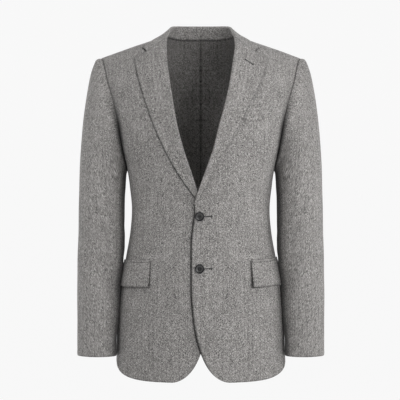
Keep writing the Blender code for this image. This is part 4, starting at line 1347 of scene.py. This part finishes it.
def breast_welt_piece():
    (inner_x, inner_z), (outer_x, outer_z) = WELT_LOW
    r, s = np.meshgrid(even(WELT_HEIGHT), even(outer_x - inner_x), indexing="ij")
    x = mix(inner_x + WELT_LEAN[0] * r, outer_x + WELT_LEAN[1] * r, s)
    z = mix(inner_z, outer_z, s) + WELT_HEIGHT * r
    u, tau = place_on_front(x, z)
    base, normals = off_torso(u, tau, np.full(x.shape, WELT_STAND_OFF)), torso_normal(u, tau)
    relief = torso_relief(torso(u, tau), normals, 0)
    uv = np.stack((x, -tau), -1)
    sides = (FAINT_EDGE,) * 4
    piece = cloth_shell("breast_welt", base, normals, uv, sides, relief, WELT_STAND_OFF)
    settle(piece, "breast_welt")


# ================================================================ buttons and buttonholes
# The button's outline as shares of its radius and of its height.
BUTTON_PROFILE = (
    (0.0, 0.0),
    (0.52, 0.0),
    (0.72, 0.06),
    (0.88, 0.2),
    (0.97, 0.42),
    (1.0, 0.62),
    (0.985, 0.8),
    (0.94, 0.94),
    (0.88, 1.0),
    (0.81, 0.96),
    (0.73, 0.85),
    (0.64, 0.71),
    (0.55, 0.61),
    (0.46, 0.56),
    (0.38, 0.55),
    (0.30, 0.545),
    (0.0, 0.54),
)


def on_torso_frame(x, z, height):
    """A place off the left front's cloth, and the directions to its right, up and outwards."""
    u, tau = place_on_front(np.array(x), np.array(z))
    height = height + torso_relief(torso(u, tau), torso_normal(u, tau), 0)
    outward = Vector(torso_normal(u, tau))
    rightward = Vector((1, 0, 0)) - outward * outward.x
    rightward.normalize()
    return Vector(off_torso(u, tau, np.array(height))), rightward, outward.cross(rightward), outward


def turned_mesh(profile, segments):
    """A closed turned form about +Z from rows of radius and height, from axis to axis."""
    form = bmesh.new()
    rings = []
    for radius, height in profile:
        if radius == 0:
            rings.append([form.verts.new((0, 0, height))])
            continue
        angles = [2 * math.pi * step / segments for step in range(segments)]
        rings.append([form.verts.new((radius * math.cos(a), radius * math.sin(a), height)) for a in angles])
    for low, high in zip(rings, rings[1:]):
        for step in range(segments):
            corners = (low[step % len(low)], low[(step + 1) % len(low)],
                       high[(step + 1) % len(high)], high[step % len(high)])
            form.faces.new(list(dict.fromkeys(corners)))
    bmesh.ops.recalc_face_normals(form, faces=form.faces)
    return form


def drilled(form, name):
    """The button's form with its four holes, cut and applied."""
    mesh = bpy.data.meshes.new(name)
    form.to_mesh(mesh)
    form.free()
    drills = bmesh.new()
    for across in (-1, 1):
        for up in (-1, 1):
            made = bmesh.ops.create_cone(
                drills,
                cap_ends=True,
                segments=HOLE_SEGMENTS,
                radius1=BUTTON_HOLE_RADIUS,
                radius2=BUTTON_HOLE_RADIUS,
                depth=4 * BUTTON_HEIGHT,
            )
            place = Vector((across, up, 0)) * BUTTON_HOLE_SPACING / 2
            bmesh.ops.translate(drills, verts=made["verts"], vec=place)
    drill_mesh = bpy.data.meshes.new(name + "_drills")
    drills.to_mesh(drill_mesh)
    drills.free()
    body = bpy.data.objects.new(name, mesh)
    cutter = bpy.data.objects.new(name + "_drills", drill_mesh)
    bpy.context.scene.collection.objects.link(body)
    bpy.context.scene.collection.objects.link(cutter)
    cut = body.modifiers.new("holes", "BOOLEAN")
    cut.operation = "DIFFERENCE"
    cut.object = cutter
    ready = bpy.data.meshes.new_from_object(body.evaluated_get(bpy.context.evaluated_depsgraph_get()))
    bpy.data.objects.remove(cutter)
    bpy.data.objects.remove(body)
    return ready


def thread_between(form, start, end, arch, radius):
    """A short arched thread from start to end, standing off by arch along +Z of its own frame."""
    sides, steps = 6, 7
    run, up = end - start, Vector((0, 0, 1))
    across = run.normalized().cross(up)
    angles = [2 * math.pi * side / sides for side in range(sides)]
    spokes = [(across * math.cos(angle) + up * math.sin(angle)) * radius for angle in angles]
    rings = []
    for step in range(steps + 1):
        t = step / steps
        centre = start + run * t + up * (arch * 4 * t * (1 - t))
        rings.append([form.verts.new(centre + spoke) for spoke in spokes])
    for low, high in zip(rings, rings[1:]):
        for side in range(sides):
            after = (side + 1) % sides
            form.faces.new((low[side], low[after], high[after], high[side]))
    form.faces.new(rings[0][::-1])
    form.faces.new(rings[-1])


def place_form(form, origin, rightward, upward, outward):
    for vert in form.verts:
        local = vert.co.copy()
        vert.co = origin + rightward * local.x + upward * local.y + outward * local.z


def button_piece(name, z):
    profile = [(radius * BUTTON_RADIUS, height * BUTTON_HEIGHT) for radius, height in BUTTON_PROFILE]
    mesh = drilled(turned_mesh(profile, BUTTON_SEGMENTS), name + "_form")
    body = bmesh.new()
    body.from_mesh(mesh)
    shares = np.array([vertex.co.xy.length / BUTTON_RADIUS for vertex in body.verts])
    # A lighter ring of colour on the button's dished slope: a painted highlight.
    inner, outer = PAINTED_HIGHLIGHT_RING
    painted_highlight = ease((shares - inner) / PAINTED_HIGHLIGHT_SOFTNESS) * ease((outer - shares) / PAINTED_HIGHLIGHT_SOFTNESS)
    axes = on_torso_frame(BUTTON_X, z, BUTTON_SEAT)
    place_form(body, *axes)
    piece = finished(body, name + "_resin", resin)
    piece.data.set_sharp_from_angle(angle=BUTTON_CREASE)
    add_values(piece, "painted_highlight", painted_highlight)
    settle(piece, name)
    threads = bmesh.new()
    half = BUTTON_HOLE_SPACING / 2
    floor = BUTTON_FLOOR_SHARE * BUTTON_HEIGHT - BUTTON_THREAD_SINK
    for up in (-half, half):
        for offset in (-BUTTON_THREAD_STEP, 0, BUTTON_THREAD_STEP):
            start = Vector((-half, up + offset, floor))
            end = Vector((half, up + offset, floor))
            thread_between(threads, start, end, BUTTON_THREAD_ARCH, THREAD_RADIUS)
    place_form(threads, *axes)
    fixed = finished(threads, name + "_thread", thread)
    settle(fixed, None)


def buttonhole_stitches(length):
    """Purl stitches round a slit along +X, an eyelet at its start and a bar tack at its end."""
    form = bmesh.new()
    fall = Vector((0, 0, -STITCH_FALL))
    count = int(length / STITCH_PITCH)
    ends = []
    for step in range(count):
        x = length * (step + 0.5) / count
        for up in (-1, 1):
            near = Vector((x, up * SLIT_CLEARANCE, 0.0))
            ends.append((near, near + Vector((0, up * STITCH_LENGTH, 0)) + fall))
    first, turn = EYELET_TURNS
    for step in range(EYELET_STITCHES):
        angle = math.radians(first + turn * step)
        spoke = Vector((math.cos(angle), math.sin(angle), 0))
        ends.append((spoke * EYELET_RADIUS, spoke * (EYELET_RADIUS + STITCH_LENGTH) + fall))
    for near, far in ends:
        thread_between(form, near, far, STITCH_ARCH, THREAD_RADIUS)
    for step in range(BAR_TACK_THREADS):
        x = length + BAR_TACK_START + BAR_TACK_STEP * step
        low = Vector((x, -BAR_TACK_HEIGHT / 2, -BAR_TACK_SINK))
        high = Vector((x, BAR_TACK_HEIGHT / 2, -BAR_TACK_SINK))
        thread_between(form, low, high, BAR_TACK_ARCH, BAR_TACK_THREAD_RADIUS)
    return form


def buttonhole_piece(name, ends, outwards):
    start, end = (Vector(place) for place in ends)
    rightward = (end - start).normalized()
    length = (end - start).length
    upward = (outwards[0] + outwards[1]).normalized().cross(rightward).normalized()
    axes = (start, rightward, upward, rightward.cross(upward))
    form = buttonhole_stitches(length)
    place_form(form, *axes)
    settle(finished(form, name + "_stitches", thread), None)
    # Two near-black sheets in the slit, one just above the cloth: the opening's painted shadow.
    slit = bmesh.new()
    upper = [*SLIT_EYELET, (length, SLIT_HALF_WIDTH)]
    corners = [(x, -y) for x, y in upper] + upper[::-1]
    for low in SLIT_LEVELS:
        slit.faces.new([slit.verts.new((x, y, low)) for x, y in corners])
    place_form(slit, *axes)
    settle(finished(slit, name + "_slit", slit_dark), None)


def buttonholes():
    for button, z in BUTTON_PLACES.items():
        ends = [on_torso_frame(x, z, BUTTONHOLE_LIFT) for x in BUTTONHOLE_X]
        name = button.removeprefix("button_") + "_buttonhole"
        buttonhole_piece(name, [end[0] for end in ends], [end[-1] for end in ends])
    ends, outwards = [], []
    for q, t in LAPEL_HOLE:
        where = (0, np.array(q), np.array(t))
        outward = Vector(lapel_normal(*where))
        height = BUTTONHOLE_LIFT + float(lapel_relief(lapel_place(*where), 0, where[2]))
        ends.append(Vector(lapel_place(*where)) + outward * height)
        outwards.append(outward)
    buttonhole_piece("lapel_buttonhole", ends, outwards)


# ================================================================ materials
def feed(tree, value, socket):
    """A socket takes another's output, or a value of its own."""
    if isinstance(value, bpy.types.NodeSocket):
        tree.links.new(value, socket)
    else:
        socket.default_value = value


def node(tree, kind, inputs=(), **settings):
    made = tree.nodes.new(kind)
    for key, value in settings.items():
        setattr(made, key, value)
    for key, value in dict(inputs).items():
        feed(tree, value, made.inputs[key])
    return made


def new_material(name, surface):
    material = bpy.data.materials.new(name)
    material.use_nodes = True
    shader = material.node_tree.nodes["Principled BSDF"]
    for key, value in surface.items():
        shader.inputs[key].default_value = value
    return material, material.node_tree, shader


def wool_material():
    """Grey herringbone: twill lines that turn at each column, flecked light and dark yarns."""
    material, tree, shader = new_material("herringbone_wool", WOOL_SURFACE)

    def maths(operation, *values):
        return node(tree, "ShaderNodeMath", enumerate(values), operation=operation).outputs[0]

    def scaled(vector, scale):
        inputs = {0: vector, "Scale": scale}
        return node(tree, "ShaderNodeVectorMath", inputs, operation="SCALE").outputs[0]

    def stored(name):
        return node(tree, "ShaderNodeAttribute", attribute_name=name).outputs["Fac"]

    def noise(scale, detail=1.0, stretch=(1, 1, 1)):
        stretched = node(tree, "ShaderNodeMapping", {"Scale": stretch, "Vector": in_mm}).outputs[0]
        inputs = {"Scale": scale, "Detail": detail, "Roughness": 0.5, "Vector": stretched}
        return node(tree, "ShaderNodeTexNoise", inputs).outputs["Fac"]

    in_mm = scaled(node(tree, "ShaderNodeUVMap", uv_map="cloth").outputs["UV"], 1 / MM)
    parts = node(tree, "ShaderNodeSeparateXYZ", {0: in_mm})
    across, down = parts.outputs["X"], parts.outputs["Y"]

    zigzag = maths("PINGPONG", across, HERRINGBONE_COLUMN)
    along = maths("ADD", down, zigzag)
    twill = maths("MULTIPLY", along, 2 * math.pi / TWILL_PITCH)
    line = maths("MULTIPLY_ADD", maths("SINE", twill), 0.5, 0.5)
    from_middle = maths("ABSOLUTE", maths("SUBTRACT", zigzag, HERRINGBONE_COLUMN / 2))
    past_spine = maths("SUBTRACT", from_middle, HERRINGBONE_COLUMN / 2 - SPINE_WIDTH)
    spine = maths("SMOOTH_MAX", past_spine, 0.0, SPINE_SOFTNESS)

    yarn_number = maths("FLOOR", maths("DIVIDE", across, YARN_PITCH))
    float_number = maths("FLOOR", maths("DIVIDE", along, FLOAT_LENGTH))
    float_cell = node(tree, "ShaderNodeCombineXYZ", {0: yarn_number, 1: float_number}).outputs[0]
    dyed = node(tree, "ShaderNodeTexWhiteNoise", {"Vector": float_cell}, noise_dimensions="2D")
    either_way = maths("MULTIPLY_ADD", dyed.outputs["Value"], 2.0, -1.0)
    salt = maths("MULTIPLY", maths("MULTIPLY", either_way, either_way), either_way)
    fleck = noise(FLECK_SCALE)
    yarn = noise(YARN_SCALE)
    streak = noise(STREAK_SCALE, stretch=STREAK_STRETCH)
    cloud = noise(CLOUD_SCALE, CLOUD_DETAIL)

    tone = maths("MULTIPLY_ADD", fleck, FLECK, WOOL_TONE - FLECK / 2)
    tone = maths("MULTIPLY_ADD", salt, SALT, tone)
    shares = ((line, LINE_TONE), (yarn, YARN_TONE), (streak, STREAK_TONE), (cloud, CLOUD_TONE))
    for source, share in shares:
        tone = maths("ADD", tone, maths("MULTIPLY_ADD", source, share, -share / 2))
    tone = maths("SUBTRACT", tone, maths("MULTIPLY", spine, SPINE_DARKNESS))
    ramp = node(tree, "ShaderNodeValToRGB", {"Fac": tone})
    ramp.color_ramp.elements.new(WOOL_TONE)
    for element, colour in zip(ramp.color_ramp.elements, (WOOL_DARK, WOOL_MIDDLE, WOOL_LIGHT)):
        element.color = colour

    # Painted shade: the colour darkens by the stored shade and beside covering edges.
    away = maths("MAXIMUM", stored("nearest_cover"), 0.0)
    beside = maths("EXPONENT", maths("MULTIPLY", maths("MULTIPLY", away, away), -1.0))
    covered = maths("MULTIPLY", beside, stored("cover_shade"))
    shade = maths("MAXIMUM", stored("shade"), covered)
    colour = scaled(ramp.outputs["Color"], maths("SUBTRACT", 1.0, shade))
    feed(tree, colour, shader.inputs["Base Color"])

    height = maths("ADD", maths("MULTIPLY", line, LINE_BUMP), maths("MULTIPLY", yarn, YARN_BUMP))
    height = maths("ADD", height, maths("MULTIPLY", fleck, FLECK_BUMP))
    bump = node(tree, "ShaderNodeBump", {"Height": height, **WOOL_BUMP})
    feed(tree, bump.outputs["Normal"], shader.inputs["Normal"])
    return material


def clouded_material(name, surface, colours, noise, positions=(0.0, 1.0), ring=None):
    """A colour that wanders between two, and turns to a third, a painted highlight, where a ring is given.
    """
    material, tree, shader = new_material(name, surface)
    place = node(tree, "ShaderNodeTexCoord").outputs["Object"]
    clouds = node(tree, "ShaderNodeTexNoise", {**noise, "Vector": place})
    ramp = node(tree, "ShaderNodeValToRGB", {"Fac": clouds.outputs["Fac"]})
    for element, position, colour in zip(ramp.color_ramp.elements, positions, colours):
        element.position = position
        element.color = colour
    colour = ramp.outputs["Color"]
    if ring:
        share = node(tree, "ShaderNodeAttribute", attribute_name="painted_highlight").outputs["Fac"]
        inputs = {"Factor": share, "A": colour, "B": ring}
        colour = node(tree, "ShaderNodeMix", inputs, data_type="RGBA").outputs["Result"]
    feed(tree, colour, shader.inputs["Base Color"])
    return material


def thread_shade(share):
    return tuple(share * value for value in THREAD_COLOUR[:3]) + (1,)


def backdrop_material():
    surface = {
        "Base Color": BACKDROP_COLOUR,
        "Roughness": 1.0,
        "Specular IOR Level": 0.0,
        "Emission Color": WHITE,
        "Emission Strength": BACKDROP_GLOW,
    }
    return new_material("pale_backdrop", surface)[0]


# ================================================================ studio
def backdrop():
    """A pale floor that sweeps up into a wall behind."""
    radius, near, far, half_width, top, steps = 1.6, -6.0, 4.2, 6.0, 4.5, 16
    profile = [(near, FLOOR_Z), (far - radius, FLOOR_Z)]
    for step in range(1, steps + 1):
        angle = QUARTER_TURN * step / steps
        profile.append((far - radius + radius * math.sin(angle), FLOOR_Z + radius * (1 - math.cos(angle))))
    profile.append((far, top))
    vertices = [(x, y, z) for y, z in profile for x in (-half_width, half_width)]
    faces = [(2 * i, 2 * i + 1, 2 * i + 3, 2 * i + 2) for i in range(len(profile) - 1)]
    piece = mesh_piece("backdrop", vertices, faces, backdrop_material())


def area_light(name, place, size, power):
    light = bpy.data.lights.new(name, "AREA")
    light.shape = "RECTANGLE"
    light.size, light.size_y = size
    light.energy = power
    lamp = bpy.data.objects.new(name, light)
    lamp.location = place
    lamp.visible_camera = False
    lamp.rotation_euler = (Vector(LIT_PLACE) - Vector(place)).to_track_quat("-Z", "Y").to_euler()
    bpy.context.scene.collection.objects.link(lamp)


def studio():
    backdrop()
    for name, lamp in LAMPS.items():
        area_light(name, lamp.place, lamp.size, lamp.power)
    world = bpy.data.worlds.new("studio_air")
    world.use_nodes = True
    air = world.node_tree.nodes["Background"]
    air.inputs["Color"].default_value = WHITE
    air.inputs["Strength"].default_value = AIR_GLOW
    bpy.context.scene.world = world
    bpy.context.scene.view_settings.view_transform = "Standard"


def camera():
    lens = bpy.data.cameras.new("view")
    lens.sensor_width = SENSOR
    lens.lens = SENSOR * -CAMERA_PLACE[1] / VIEW_WIDTH
    lens.clip_end = 60
    view = bpy.data.objects.new("view", lens)
    view.location = CAMERA_PLACE
    view.rotation_euler = (QUARTER_TURN, 0, 0)
    bpy.context.scene.collection.objects.link(view)
    bpy.context.scene.camera = view


# ================================================================ the scene
wool = wool_material()
thread = clouded_material(
    "dark_thread",
    THREAD_SURFACE,
    (thread_shade(THREAD_DARK_SHARE), thread_shade(THREAD_LIGHT_SHARE)),
    {"Scale": 2200},
)
resin = clouded_material(
    "button_resin",
    RESIN_SURFACE,
    (BUTTON_DARK, BUTTON_LIGHT),
    {"Scale": 160, "Detail": 4, "Distortion": 1.4},
    (0.35, 0.75),
    BUTTON_PAINTED_HIGHLIGHT,
)
slit_dark = clouded_material(
    "buttonhole_shadow", {"Roughness": 1.0}, (SLIT_SHADOW_COLOUR, THREAD_COLOUR), {"Scale": 1500}
)

camera()
studio()
for side_number in (0, 1):
    front_piece(side_number)
    side_piece(side_number)
    back_piece(side_number)
    lapel_piece(side_number)
    sleeve_pieces(side_number)
    pocket_pieces(side_number)
collar_piece()
breast_welt_piece()
for button_name, button_z in BUTTON_PLACES.items():
    button_piece(button_name, button_z)
buttonholes()
